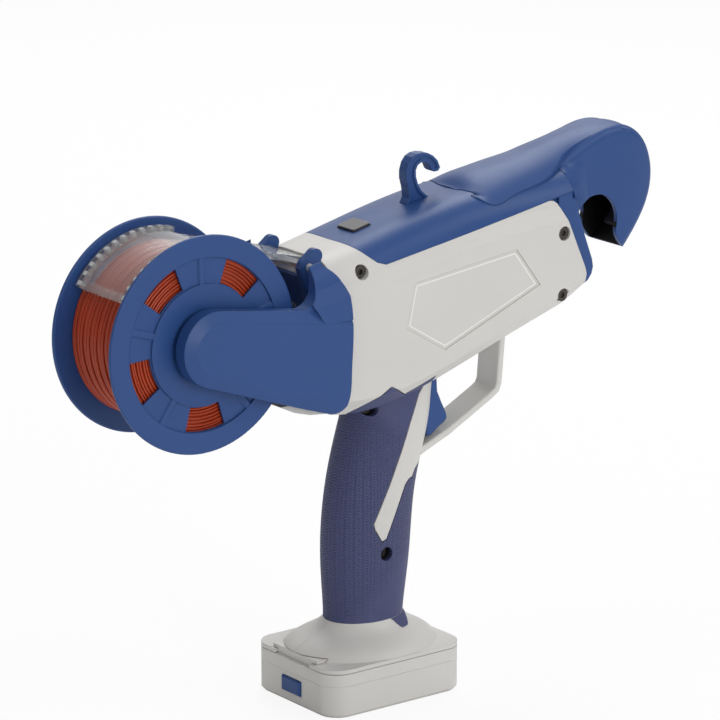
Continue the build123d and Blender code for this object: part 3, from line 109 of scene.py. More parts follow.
skin = knot(tree, "ShaderNodeBsdfPrincipled", {"Base Color": shade.outputs[TINT_OUT], "IOR": 1.53,
                                               "Roughness": gloss.outputs["Result"],
                                               "Normal": relief.outputs["Normal"]})
knot(tree, "ShaderNodeOutputMaterial", {"Surface": skin.outputs["BSDF"]})
dress(grey_abs, "right_shell", "left_shell", "trigger_guard", "battery_case", "battery_lid")

# Roof, front housing, spool arms, spool, trigger and small fittings
# Injection-moulded ABS in mid blue, screwed or clipped to the shells.
# Polished moulds leave it semi-gloss, with faint flow marks along the part.
FLOW_STRETCH = (0.12, 1.0, 1.0)


def blue_moulding(name):
    """Blue finish with its tree, colour and surface."""
    finish, tree = start_finish(name)
    place = knot(tree, "ShaderNodeTexCoord").outputs["Object"]
    # Flow marks run along X, about 2 mm apart across it.
    stretch = knot(tree, "ShaderNodeMapping", {"Vector": place, "Scale": FLOW_STRETCH})
    flow = knot(tree, "ShaderNodeTexNoise", {"Vector": stretch.outputs["Vector"], "Scale": 500.0,
                                             "Detail": 3.0})
    # The mould's own grain is drawn at 0.6 mm so that it shows; colour clouds are about 55 mm wide.
    grain = knot(tree, "ShaderNodeTexNoise", {"Vector": place, "Scale": 1600.0, "Detail": 2.0})
    cloud = knot(tree, "ShaderNodeTexNoise", {"Vector": place, "Scale": 18.0, "Detail": 3.0})
    shade = knot(tree, "ShaderNodeMix", {"Factor": cloud.outputs["Fac"], TINT_A: tint("#24457d"),
                                         TINT_B: tint("#294b85")}, data_type="RGBA")
    gloss = knot(tree, "ShaderNodeMapRange", {"Value": flow.outputs["Fac"], "To Min": 0.37, "To Max": 0.47})
    edge = knot(tree, "ShaderNodeBevel", {"Radius": 0.0007}, samples=4)
    relief = knot(tree, "ShaderNodeBump", {"Strength": 0.08, "Distance": 0.00005,
                                           "Height": grain.outputs["Fac"],
                                           "Normal": edge.outputs["Normal"]})
    skin = knot(tree, "ShaderNodeBsdfPrincipled", {"Base Color": shade.outputs[TINT_OUT], "IOR": 1.5,
                                                   "Specular IOR Level": 0.36,
                                                   "Roughness": gloss.outputs["Result"],
                                                   "Normal": relief.outputs["Normal"]})
    knot(tree, "ShaderNodeOutputMaterial", {"Surface": skin.outputs["BSDF"]})
    return finish, tree, shade, skin


blue_abs = blue_moulding("blue_abs_semi_gloss")[0]
dress(blue_abs, "top_cover", "front_housing", "right_spool_arm", "left_spool_arm", "spool_axle",
      "release_knob", "rear_plate", "right_flange", "left_flange", "spool_core", "trigger",
      "hanging_hook", "battery_latch")

# Beak
# The same blue moulding, hollow underneath; the inside of the hollow is painted near black as painted shade.
# Faces that look back towards the middle of the hollow, from 6 mm away or more, get the painted shade.
HOLLOW = (0.157, 0.0, 0.251)
SHADE_REACH = 0.006
SHADE_START = 0.123
SHADE_BLEND = 0.0005
beak_abs, tree, shade, skin = blue_moulding("blue_abs_painted_shade_inside")
place = knot(tree, "ShaderNodeTexCoord").outputs["Object"]
outward = knot(tree, "ShaderNodeVectorMath", {0: place, 1: HOLLOW}, operation="SUBTRACT")
facing = knot(tree, "ShaderNodeNewGeometry")
reach = knot(tree, "ShaderNodeVectorMath", {0: outward.outputs[0], 1: facing.outputs["Normal"]},
             operation="DOT_PRODUCT")
inside = knot(tree, "ShaderNodeMapRange", {"Value": reach.outputs["Value"],
                                           "From Min": -SHADE_REACH - SHADE_BLEND,
                                           "From Max": -SHADE_REACH + SHADE_BLEND,
                                           "To Min": 1.0, "To Max": 0.0})
# The painted shade starts 123 mm in front of the origin, past the saddle.
axes = knot(tree, "ShaderNodeSeparateXYZ", {"Vector": place})
ahead = knot(tree, "ShaderNodeMapRange", {"Value": axes.outputs["X"],
                                          "From Min": SHADE_START - SHADE_BLEND,
                                          "From Max": SHADE_START + SHADE_BLEND})
shaded_inside = knot(tree, "ShaderNodeMath", {0: inside.outputs["Result"], 1: ahead.outputs["Result"]},
             operation="MULTIPLY")
# Painted shade: near black mixed over the blue inside the hollow.
painted_shade = knot(tree, "ShaderNodeMix", {"Factor": shaded_inside.outputs[0], TINT_A: shade.outputs[TINT_OUT],
                                      TINT_B: tint("#08080a")}, data_type="RGBA")
tree.links.new(painted_shade.outputs[TINT_OUT], skin.inputs["Base Color"])
dress(beak_abs, "beak_housing")

# Power button, the switches behind it and the trigger, and the guide strip in the beak
# Black rubbery caps, moulded with a soft dome and a dull bloom.
black_cap, tree = start_finish("black_rubber_cap")
place = knot(tree, "ShaderNodeTexCoord").outputs["Object"]
# The bloom lies in specks about 1 mm wide.
bloom = knot(tree, "ShaderNodeTexNoise", {"Vector": place, "Scale": 900.0, "Detail": 3.0})
shade = knot(tree, "ShaderNodeMix", {"Factor": bloom.outputs["Fac"], TINT_A: tint("#38373b"),
                                     TINT_B: tint("#424146")}, data_type="RGBA")
edge = knot(tree, "ShaderNodeBevel", {"Radius": 0.0008}, samples=4)
relief = knot(tree, "ShaderNodeBump", {"Strength": 0.15, "Distance": 0.00006,
                                       "Height": bloom.outputs["Fac"],
                                       "Normal": edge.outputs["Normal"]})
skin = knot(tree, "ShaderNodeBsdfPrincipled", {"Base Color": shade.outputs[TINT_OUT], "Roughness": 0.3,
                                               "IOR": 1.5, "Normal": relief.outputs["Normal"]})
knot(tree, "ShaderNodeOutputMaterial", {"Surface": skin.outputs["BSDF"]})
dress(black_cap, "power_button", "power_switch", "trigger_switch", "wire_guide_strip")

# Pins, wheels, wire inlet, twister, cutter and motors
# Turned and hardened steel, bright where it was cut, with fine turning marks.
bright_steel, tree = start_finish("turned_steel_bright")
place = knot(tree, "ShaderNodeTexCoord").outputs["Object"]
# Turning marks are about 0.3 mm wide.
marks = knot(tree, "ShaderNodeTexNoise", {"Vector": place, "Scale": 3000.0, "Detail": 2.0})
gloss = knot(tree, "ShaderNodeMapRange", {"Value": marks.outputs["Fac"], "To Min": 0.24, "To Max": 0.42})
shade = knot(tree, "ShaderNodeMix", {"Factor": marks.outputs["Fac"], TINT_A: tint("#a9a9ab"),
                                     TINT_B: tint("#c2c2c4")}, data_type="RGBA")
skin = knot(tree, "ShaderNodeBsdfPrincipled", {"Base Color": shade.outputs[TINT_OUT], "Metallic": 1.0,
                                               "Roughness": gloss.outputs["Result"]})
knot(tree, "ShaderNodeOutputMaterial", {"Surface": skin.outputs["BSDF"]})
dress(bright_steel, "hinge_pin", "wire_inlet", "feed_wheel", "pinch_wheel", "pinch_axle", "twist_hook",
      "cutter_blade", "trigger_pin", "feed_motor", "twist_motor")

# Shell screws
# Socket head screws in black oxide, sunk in the bosses of the shells.
black_oxide, tree = start_finish("black_oxide_steel")
place = knot(tree, "ShaderNodeTexCoord").outputs["Object"]
# The oxide film is uneven in patches about 0.7 mm wide.
film = knot(tree, "ShaderNodeTexNoise", {"Vector": place, "Scale": 1500.0, "Detail": 2.0})
gloss = knot(tree, "ShaderNodeMapRange", {"Value": film.outputs["Fac"], "To Min": 0.42, "To Max": 0.56})
skin = knot(tree, "ShaderNodeBsdfPrincipled", {"Base Color": tint("#55514d"), "Metallic": 0.9,
                                               "Roughness": gloss.outputs["Result"]})
knot(tree, "ShaderNodeOutputMaterial", {"Surface": skin.outputs["BSDF"]})
dress(black_oxide, "shell_screws")

# Feed plate and twister mount
# Milled aluminium plates inside the shells, with straight cutter marks.
milled_plate, tree = start_finish("milled_aluminium")
place = knot(tree, "ShaderNodeTexCoord").outputs["Object"]
# Cutter marks lie about 0.8 mm apart.
marks = knot(tree, "ShaderNodeTexWave", {"Vector": place, "Scale": 400.0, "Distortion": 1.0})
gloss = knot(tree, "ShaderNodeMapRange", {"Value": marks.outputs["Fac"], "To Min": 0.32, "To Max": 0.46})
skin = knot(tree, "ShaderNodeBsdfPrincipled", {"Base Color": tint("#c9cacc"), "Metallic": 1.0,
                                               "Roughness": gloss.outputs["Result"]})
knot(tree, "ShaderNodeOutputMaterial", {"Surface": skin.outputs["BSDF"]})
dress(milled_plate, "feed_plate", "twist_mount")

# Wire tube and battery contacts
# Drawn brass, a little dulled by handling, in patches about 3 mm wide.
drawn_brass, tree = start_finish("drawn_brass")
place = knot(tree, "ShaderNodeTexCoord").outputs["Object"]
dull = knot(tree, "ShaderNodeTexNoise", {"Vector": place, "Scale": 300.0, "Detail": 3.0})
shade = knot(tree, "ShaderNodeMix", {"Factor": dull.outputs["Fac"], TINT_A: tint("#b08d4a"),
                                     TINT_B: tint("#cda85c")}, data_type="RGBA")
skin = knot(tree, "ShaderNodeBsdfPrincipled", {"Base Color": shade.outputs[TINT_OUT], "Metallic": 1.0,
                                               "Roughness": 0.3})
knot(tree, "ShaderNodeOutputMaterial", {"Surface": skin.outputs["BSDF"]})
dress(drawn_brass, "wire_tube", "contact_blades")

# Control board and cells
# Glass-fibre board under green solder mask, and cells in a shrunk blue sleeve.
board_mask, tree = start_finish("green_solder_mask")
place = knot(tree, "ShaderNodeTexCoord").outputs["Object"]
# Woven glass shows through at about 1 mm.
weave = knot(tree, "ShaderNodeTexNoise", {"Vector": place, "Scale": 1000.0, "Detail": 1.0})
shade = knot(tree, "ShaderNodeMix", {"Factor": weave.outputs["Fac"], TINT_A: tint("#1d5236"),
                                     TINT_B: tint("#27663f")}, data_type="RGBA")
skin = knot(tree, "ShaderNodeBsdfPrincipled", {"Base Color": shade.outputs[TINT_OUT], "Roughness": 0.35})
knot(tree, "ShaderNodeOutputMaterial", {"Surface": skin.outputs["BSDF"]})
dress(board_mask, "control_board")
cell_sleeve, tree = start_finish("blue_shrink_sleeve")
place = knot(tree, "ShaderNodeTexCoord").outputs["Object"]
# Shrinking leaves soft ripples about 4 mm wide.
ripple = knot(tree, "ShaderNodeTexNoise", {"Vector": place, "Scale": 250.0, "Detail": 2.0})
relief = knot(tree, "ShaderNodeBump", {"Strength": 0.2, "Distance": 0.0001, "Height": ripple.outputs["Fac"]})
skin = knot(tree, "ShaderNodeBsdfPrincipled", {"Base Color": tint("#3c6f8f"), "Roughness": 0.25,
                                               "Normal": relief.outputs["Normal"]})
knot(tree, "ShaderNodeOutputMaterial", {"Surface": skin.outputs["BSDF"]})
dress(cell_sleeve, "battery_cells")

# Grip coverings
# Thermoplastic elastomer moulded over both shells, dull blue violet.
# Its surface is a fine herringbone of rice grains, left smooth at the top front and the lower front.
GRIP_MIDDLE = 0.006
GRIP_ROUND = 0.023
GRAIN_WIDTH = 0.0022
GRAIN_RISE = 0.0015
GRAIN_LEAN = 0.9
TOP_SLANT = 0.55
TOP_SMOOTH = (0.146, 0.158)
LOW_SMOOTH = (-0.062, -0.048)
grip_rubber, tree = start_finish("blue_violet_elastomer")
place = knot(tree, "ShaderNodeTexCoord").outputs["Object"]
axes = knot(tree, "ShaderNodeSeparateXYZ", {"Vector": place})
fore = knot(tree, "ShaderNodeMath", {0: axes.outputs["X"], 1: GRIP_MIDDLE}, operation="SUBTRACT")
turn = knot(tree, "ShaderNodeMath", {0: axes.outputs["Y"], 1: fore.outputs[0]}, operation="ARCTAN2")
# Round the grip, columns of grains are 2.2 mm wide on a 23 mm radius; grains repeat every 1.5 mm.
column = knot(tree, "ShaderNodeMath", {0: turn.outputs[0], 1: GRIP_ROUND / GRAIN_WIDTH},
              operation="MULTIPLY")
across = knot(tree, "ShaderNodeMath", {0: column.outputs[0], 1: 1.0}, operation="PINGPONG")
lean = knot(tree, "ShaderNodeMath", {0: across.outputs[0], 1: GRAIN_LEAN}, operation="MULTIPLY")
rise = knot(tree, "ShaderNodeMath", {0: axes.outputs["Z"], 1: 1.0 / GRAIN_RISE}, operation="MULTIPLY")
row = knot(tree, "ShaderNodeMath", {0: rise.outputs[0], 1: lean.outputs[0]}, operation="ADD")
phase = knot(tree, "ShaderNodeMath", {0: row.outputs[0], 1: 2 * math.pi}, operation="MULTIPLY")
wave = knot(tree, "ShaderNodeMath", {0: phase.outputs[0]}, operation="SINE")
middle = knot(tree, "ShaderNodeMath", {0: across.outputs[0], 1: math.pi}, operation="MULTIPLY")
bulge = knot(tree, "ShaderNodeMath", {0: middle.outputs[0]}, operation="SINE")
seed = knot(tree, "ShaderNodeMath", {0: wave.outputs[0], 1: bulge.outputs[0]}, operation="MULTIPLY")
# Grains fade out towards the smooth areas over about 10 mm.
slant = knot(tree, "ShaderNodeMath", {0: axes.outputs["X"], 1: TOP_SLANT}, operation="MULTIPLY")
high = knot(tree, "ShaderNodeMath", {0: axes.outputs["Z"], 1: slant.outputs[0]}, operation="ADD")
top_fade = knot(tree, "ShaderNodeMapRange", {"Value": high.outputs[0], "From Min": TOP_SMOOTH[0],
                                             "From Max": TOP_SMOOTH[1], "To Min": 1.0, "To Max": 0.0})
low = knot(tree, "ShaderNodeMath", {0: axes.outputs["X"], 1: axes.outputs["Z"]}, operation="SUBTRACT")
low_fade = knot(tree, "ShaderNodeMapRange", {"Value": low.outputs[0], "From Min": LOW_SMOOTH[0],
                                             "From Max": LOW_SMOOTH[1], "To Min": 1.0, "To Max": 0.0})
faded = knot(tree, "ShaderNodeMath", {0: top_fade.outputs["Result"], 1: low_fade.outputs["Result"]},
             operation="MULTIPLY")
grains = knot(tree, "ShaderNodeMath", {0: seed.outputs[0], 1: faded.outputs[0]}, operation="MULTIPLY")
tone = knot(tree, "ShaderNodeMapRange", {"Value": grains.outputs[0], "From Min": -1.0, "From Max": 1.0})
shade = knot(tree, "ShaderNodeMix", {"Factor": tone.outputs["Result"], TINT_A: tint("#353b61"),
                                     TINT_B: tint("#454b75")}, data_type="RGBA")
relief = knot(tree, "ShaderNodeBump", {"Strength": 0.8, "Distance": 0.0003, "Height": grains.outputs[0]})
skin = knot(tree, "ShaderNodeBsdfPrincipled", {"Base Color": shade.outputs[TINT_OUT], "Roughness": 0.58,
                                               "IOR": 1.5, "Normal": relief.outputs["Normal"]})
knot(tree, "ShaderNodeOutputMaterial", {"Surface": skin.outputs["BSDF"]})
dress(grip_rubber, "right_grip", "left_grip")

# Grip tongues
# Each covering ends in a small tongue over the foot's collar, at its lower front, moulded with it.
# A tongue lies 0.5 mm proud of the collar and is sunk 0.6 mm in it.
TONGUE_PROUD = 0.0005
TONGUE_SUNK = 0.0006
# Rows give the height in mm, then where the tongue starts and ends, in degrees from straight ahead.
TONGUE = [(40.9, 72.0, 20.0), (39.6, 68.0, 28.0), (38.0, 66.0, 36.0), (36.6, 64.0, 44.0), (35.9, 62.0, 50.0)]
COLUMNS = 10
COLLAR_MIDDLE = 0.0024
CAST_FROM = 0.06


def rim(rows):
    """Points round the edge of a grid."""
    return rows[0] + [row[-1] for row in rows[1:-1]] + rows[-1][::-1] + [row[0] for row in rows[-2:0:-1]]


def add_piece(name, shape, finish):
    """Object made of a finished shape, with its finish."""
    mesh = bpy.data.meshes.new(name)
    shape.to_mesh(mesh)
    shape.free()
    mesh.materials.append(finish)
    piece = bpy.data.objects.new(name, mesh)
    bpy.context.scene.collection.objects.link(piece)
    return piece


for name, shell, side in (("right_tongue", "right_shell", -1), ("left_tongue", "left_shell", 1)):
    shape = bmesh.new()
    skins = ([], [])
    for height, first, last in TONGUE:
        rows = ([], [])
        for column in range(COLUMNS + 1):
            angle = math.radians(first + (last - first) * column / COLUMNS)
            away = Vector((math.cos(angle), side * math.sin(angle), 0.0))
            start = Vector((COLLAR_MIDDLE, 0.0, height / 1000)) + away * CAST_FROM
            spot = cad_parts[shell].ray_cast(start, -away)[1]
            rows[0].append(shape.verts.new(spot + away * TONGUE_PROUD))
            rows[1].append(shape.verts.new(spot - away * TONGUE_SUNK))
        skins[0].append(rows[0])
        skins[1].append(rows[1])
    for skin_rows in skins:
        for upper, lower in zip(skin_rows, skin_rows[1:]):
            for column in range(COLUMNS):
                shape.faces.new((upper[column], upper[column + 1], lower[column + 1], lower[column]))
    outer, inner = rim(skins[0]), rim(skins[1])
    for index in range(len(outer)):
        ahead = (index + 1) % len(outer)
        shape.faces.new((outer[index], outer[ahead], inner[ahead], inner[index]))
    bmesh.ops.recalc_face_normals(shape, faces=shape.faces)
    tongue = add_piece(name, shape, grip_rubber)
    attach(tongue, "body")

# Wire on the spool and its lead
# Thin steel wire in a terracotta plastic coat, 2 mm over all, wound in close turns.
# Its layers show through the windows of the spool.
wire_coat, tree = start_finish("terracotta_coated_wire")
place = knot(tree, "ShaderNodeTexCoord").outputs["Object"]
# The coat's colour drifts over about 17 mm.
cloud = knot(tree, "ShaderNodeTexNoise", {"Vector": place, "Scale": 60.0, "Detail": 3.0})
shade = knot(tree, "ShaderNodeMix", {"Factor": cloud.outputs["Fac"], TINT_A: tint("#942d10"),
                                     TINT_B: tint("#b6421d")}, data_type="RGBA")
skin = knot(tree, "ShaderNodeBsdfPrincipled", {"Base Color": shade.outputs[TINT_OUT], "Roughness": 0.3,
                                               "IOR": 1.5, "Specular IOR Level": 0.4})
knot(tree, "ShaderNodeOutputMaterial", {"Surface": skin.outputs["BSDF"]})
dress(wire_coat, "wire_lead")
SPOOL = Vector((-0.116, 0.0, 0.211))
WIRE_RADIUS = 0.001


def wound_curve(name, body, thickness, runs):
    """Wire of one or more runs of points on a body; a run marked closed joins its ends."""
    curve = bpy.data.curves.new(name, "CURVE")
    curve.dimensions = "3D"
    curve.bevel_depth = thickness
    curve.bevel_resolution = 2
    curve.use_fill_caps = True
    for points, closed in runs:
        run = curve.splines.new("POLY")
        run.points.add(len(points) - 1)
        for spot, point in zip(run.points, points):
            spot.co = (*point, 1.0)
        run.use_cyclic_u = closed
        run.use_smooth = True
    made = bpy.data.objects.new(name, curve)
    bpy.context.scene.collection.objects.link(made)
    curve.materials.append(wire_coat)
    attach(made, body)
    return made


def on_spool(radius, angle, y):
    """Point at a radius and angle round the spool's axis."""
    return SPOOL + Vector((radius * math.cos(angle), y, radius * math.sin(angle)))


def join_sections(shape, first, second):
    """Faces between two sections of a swept bar."""
    for corner in range(len(first)):
        ahead = (corner + 1) % len(first)
        shape.faces.new((first[corner], first[ahead], second[ahead], second[corner]))


# Outer layer: every third lap has sunk between its neighbours, as on a hand-loaded spool.
# The last lap is drawn tight.
LAPS = 22
LAP_STEPS = 60
LAP_SINK = 0.0016
SINK_EVERY = 3.0
LAY_RADIUS = 0.0446
LAY_HALF = 0.0231
LEAVE_RADIUS = 0.0439
LEAVE = math.radians(-46.9)
helix = []
for index in range(LAPS * LAP_STEPS + 1):
    lap = index / LAP_STEPS
    left = min(1.0, LAPS - lap)
    sink = LAP_SINK * max(0.0, math.cos(2 * math.pi * lap / SINK_EVERY)) ** 2
    radius = LEAVE_RADIUS + (LAY_RADIUS - sink - LEAVE_RADIUS) * left
    angle = LEAVE - 2 * math.pi * (LAPS - lap)
    helix.append(on_spool(radius, angle, -LAY_HALF + 2 * LAY_HALF * lap / LAPS))
outer_layer = wound_curve("wire_outer_layer", "spool", WIRE_RADIUS, [(helix, False)])
# The wire leaves the spool straight along its last turn, 16 mm to where the inlet draws it in.
LEAD_START = 0.016
leaving = on_spool(LEAVE_RADIUS, LEAVE, LAY_HALF)
heading = Vector((-math.sin(LEAVE), 0.0, math.cos(LEAVE)))
wound_curve("wire_lead_start", "body", WIRE_RADIUS, [([leaving, leaving + heading * LEAD_START], False)])
# Layers seen through the windows: 1.7 mm apart, a little loose.
RINGS = 9
RING_POINTS = 72
RING_FIRST = 0.0312
RING_STEP = 0.00169
RING_LOOSE = 0.0002
RING_SIDE = 0.0232
RING_STAGGER = 0.0004
RING_WIRE = 0.00068
side_runs = []
for side in (-1, 1):
    for layer in range(RINGS):
        ring = []
        for point in range(RING_POINTS):
            angle = 2 * math.pi * point / RING_POINTS
            radius = RING_FIRST + RING_STEP * layer + RING_LOOSE * math.sin(3 * angle + layer)
            ring.append(on_spool(radius, angle, side * (RING_SIDE - RING_STAGGER * (layer % 2))))
        side_runs.append((ring, True))
wound_curve("wire_side_layers", "spool", RING_WIRE, side_runs)
# The layers below are one plain ring, seen only in the gaps of the others.
PACK_INNER = 0.0201
PACK_OUTER = 0.0430
PACK_HALF = 0.0225
PACK_STEPS = 96
PACK = [(PACK_INNER, -PACK_HALF), (PACK_OUTER, -PACK_HALF), (PACK_OUTER, PACK_HALF), (PACK_INNER, PACK_HALF)]
shape = bmesh.new()
sections = []
for step in range(PACK_STEPS):
    angle = 2 * math.pi * step / PACK_STEPS
    sections.append([shape.verts.new(on_spool(radius, angle, y)) for radius, y in PACK])
for step in range(PACK_STEPS):
    join_sections(shape, sections[step], sections[(step + 1) % PACK_STEPS])
bmesh.ops.recalc_face_normals(shape, faces=shape.faces)
inner_layers = add_piece("wire_inner_layers", shape, wire_coat)
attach(inner_layers, "spool")
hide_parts("wire_winding")
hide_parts("wire_pack")

# Guard flap over the wire
# Clear polycarbonate moulding: polished ladder ribs along both edges and a frosted middle.
# The neck to the hinge and the lip at the lower end are polished too.
FROST_HALF = 0.017
FROST_BLEND = 0.0002
NECK_END = 79.0
LIP_START = 143.0
BEARING_BLEND = 0.5
clear_pc, tree = start_finish("clear_polycarbonate")
place = knot(tree, "ShaderNodeTexCoord").outputs["Object"]
axes = knot(tree, "ShaderNodeSeparateXYZ", {"Vector": place})
# Frosting reaches 17 mm each side of the middle, and from 79 to 143 degrees round the spool's axis.
off_middle = knot(tree, "ShaderNodeMath", {0: axes.outputs["Y"]}, operation="ABSOLUTE")
ahead = knot(tree, "ShaderNodeMath", {0: axes.outputs["X"], 1: SPOOL.x}, operation="SUBTRACT")
above = knot(tree, "ShaderNodeMath", {0: axes.outputs["Z"], 1: SPOOL.z}, operation="SUBTRACT")
bearing = knot(tree, "ShaderNodeMath", {0: above.outputs[0], 1: ahead.outputs[0]}, operation="ARCTAN2")
within = knot(tree, "ShaderNodeMapRange", {"Value": off_middle.outputs[0],
                                           "From Min": FROST_HALF - FROST_BLEND,
                                           "From Max": FROST_HALF + FROST_BLEND,
                                           "To Min": 1.0, "To Max": 0.0})
past_neck = knot(tree, "ShaderNodeMapRange", {"Value": bearing.outputs[0],
                                              "From Min": math.radians(NECK_END - BEARING_BLEND),
                                              "From Max": math.radians(NECK_END + BEARING_BLEND)})
before_lip = knot(tree, "ShaderNodeMapRange", {"Value": bearing.outputs[0],
                                               "From Min": math.radians(LIP_START - BEARING_BLEND),
                                               "From Max": math.radians(LIP_START + BEARING_BLEND),
                                               "To Min": 1.0, "To Max": 0.0})
between = knot(tree, "ShaderNodeMath", {0: past_neck.outputs["Result"], 1: before_lip.outputs["Result"]},
               operation="MULTIPLY")
frosted = knot(tree, "ShaderNodeMath", {0: within.outputs["Result"], 1: between.outputs[0]},
               operation="MULTIPLY")
frost = knot(tree, "ShaderNodeMapRange", {"Value": frosted.outputs[0], "To Min": 0.05, "To Max": 0.40})
clear = knot(tree, "ShaderNodeMapRange", {"Value": frosted.outputs[0], "To Min": 0.86, "To Max": 0.10})
# Looked at flat, the frosted skin hides more of the wire below than it does straight on.
CLEAR_COVER = 0.70
FLAT_POWER = 4.0
tilt = knot(tree, "ShaderNodeLayerWeight", {"Blend": 0.5})
steep = knot(tree, "ShaderNodeMath", {0: tilt.outputs["Facing"], 1: FLAT_POWER}, operation="POWER")
milk = knot(tree, "ShaderNodeMapRange", {"Value": steep.outputs[0], "To Min": 0.08, "To Max": 0.80})
cover = knot(tree, "ShaderNodeMix", {"Factor": frosted.outputs[0], "A": CLEAR_COVER,
                                     "B": milk.outputs["Result"]})
# The frost's grain is drawn at 0.4 mm so that it shows.
grain = knot(tree, "ShaderNodeTexNoise", {"Vector": place, "Scale": 2500.0})
relief = knot(tree, "ShaderNodeBump", {"Strength": 0.12, "Distance": 0.00005,
                                       "Height": grain.outputs["Fac"]})
skin = knot(tree, "ShaderNodeBsdfPrincipled", {"Base Color": tint("#eef1f1"), "IOR": 1.58,
                                               "Roughness": frost.outputs["Result"],
                                               "Transmission Weight": clear.outputs["Result"],
                                               "Alpha": cover.outputs["Result"],
                                               "Normal": relief.outputs["Normal"]})
knot(tree, "ShaderNodeOutputMaterial", {"Surface": skin.outputs["BSDF"]})
dress(clear_pc, "wire_guard")


def arc_bar(shape, sides, radii, bearings, steps):
    """Add a bar of square section that follows the spool's round."""
    sections = []
    for step in range(steps + 1):
        angle = math.radians(bearings[0] + (bearings[1] - bearings[0]) * step / steps)
        corners = [(radii[0], sides[0]), (radii[1], sides[0]), (radii[1], sides[1]), (radii[0], sides[1])]
        sections.append([shape.verts.new(on_spool(radius, angle, y)) for radius, y in corners])
    for first, second in zip(sections, sections[1:]):
        join_sections(shape, first, second)
    shape.faces.new(sections[0])
    shape.faces.new(reversed(sections[-1]))


# A ladder stands on each edge of the flap: two rails 0.7 mm thick with rungs between them, 2.6 mm high.
# The rungs are solid, with painted glints: their colour is lighter in patches about 1.4 mm wide.
bright_pc, tree = start_finish("polished_polycarbonate_rungs")
place = knot(tree, "ShaderNodeTexCoord").outputs["Object"]
painted_glints = knot(tree, "ShaderNodeTexNoise", {"Vector": place, "Scale": 700.0})
# Painted highlight: the lighter patches stand in for glints on the clear rungs.
shade = knot(tree, "ShaderNodeMix", {"Factor": painted_glints.outputs["Fac"], TINT_A: tint("#c9cccd"),
                                     TINT_B: tint("#f6f8f8")}, data_type="RGBA")
skin = knot(tree, "ShaderNodeBsdfPrincipled", {"Base Color": shade.outputs[TINT_OUT], "Roughness": 0.08,
                                               "IOR": 1.58, "Transmission Weight": 0.25, "Alpha": 0.85})
knot(tree, "ShaderNodeOutputMaterial", {"Surface": skin.outputs["BSDF"]})
LADDER = (0.0491, 0.0520)
RAILS = ((0.0172, 0.0179), (0.0212, 0.0219))
RAIL_BEARINGS = (75.4, 147.6)
RAIL_STEPS = 36
RUNGS = 12
RUNG_SIDES = (0.0180, 0.0211)
RUNG_FIRST = 77.5
RUNG_SPREAD = 68.0
RUNG_HALF = 1.2
rails = bmesh.new()
rungs = bmesh.new()
for side in (-1, 1):
    for near, far in RAILS:
        arc_bar(rails, (side * near, side * far), LADDER, RAIL_BEARINGS, RAIL_STEPS)
    near, far = RUNG_SIDES
    for index in range(RUNGS):
        bearing = RUNG_FIRST + RUNG_SPREAD * index / (RUNGS - 1)
        arc_bar(rungs, (side * near, side * far), LADDER, (bearing - RUNG_HALF, bearing + RUNG_HALF), 1)
for name, shape, finish in (("guard_rails", rails, clear_pc), ("guard_rungs", rungs, bright_pc)):
    bmesh.ops.recalc_face_normals(shape, faces=shape.faces)
    ladder = add_piece(name, shape, finish)
    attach(ladder, "wire_guard")

# Border line of the side panel
# Thin white pad print round the sunk five-sided panel on the right shell; the panel itself is bare.
# Its corners, insets and depths are in mm.
PANEL = [(8.5, 225.8), (75.5, 233.8), (91.5, 212.8), (28.5, 187.5), (3.5, 202.8)]
BORDER_OUTER = 1.7
BORDER_INNER = 2.25
BORDER_ROOT = 35.38
BORDER_FACE = 35.46
BORDER = ((BORDER_OUTER, BORDER_ROOT), (BORDER_OUTER, BORDER_FACE),
          (BORDER_INNER, BORDER_FACE), (BORDER_INNER, BORDER_ROOT))
white_print, tree = start_finish("white_pad_print")
place = knot(tree, "ShaderNodeTexCoord").outputs["Object"]
# The ink lies unevenly, in patches a little over 1 mm wide.
ink = knot(tree, "ShaderNodeTexNoise", {"Vector": place, "Scale": 800.0})
shade = knot(tree, "ShaderNodeMix", {"Factor": ink.outputs["Fac"], TINT_A: tint("#e6e5e3"),
                                     TINT_B: tint("#f0efed")}, data_type="RGBA")
skin = knot(tree, "ShaderNodeBsdfPrincipled", {"Base Color": shade.outputs[TINT_OUT], "Roughness": 0.5})
knot(tree, "ShaderNodeOutputMaterial", {"Surface": skin.outputs["BSDF"]})


def drawn_in(corners, distance):
    """Corners of a closed outline moved inwards."""
    moved = []
    count = len(corners)
    for index in range(count):
        before = Vector(corners[index - 1])
        here = Vector(corners[index])
        after = Vector(corners[(index + 1) % count])
        first = (here - before).normalized()
        second = (after - here).normalized()
        side = Vector((first.y, -first.x))
        bisector = (side + Vector((second.y, -second.x))).normalized()
        moved.append(here + bisector * (distance / bisector.dot(side)))
    return moved


shape = bmesh.new()
loops = []
for inset, depth in BORDER:
    loops.append([shape.verts.new((p.x / 1000, -depth / 1000, p.y / 1000)) for p in drawn_in(PANEL, inset)])
for first, second in zip(loops, loops[1:]):
    join_sections(shape, first, second)
bmesh.ops.recalc_face_normals(shape, faces=shape.faces)
panel_border = add_piece("panel_border", shape, white_print)
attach(panel_border, "body")

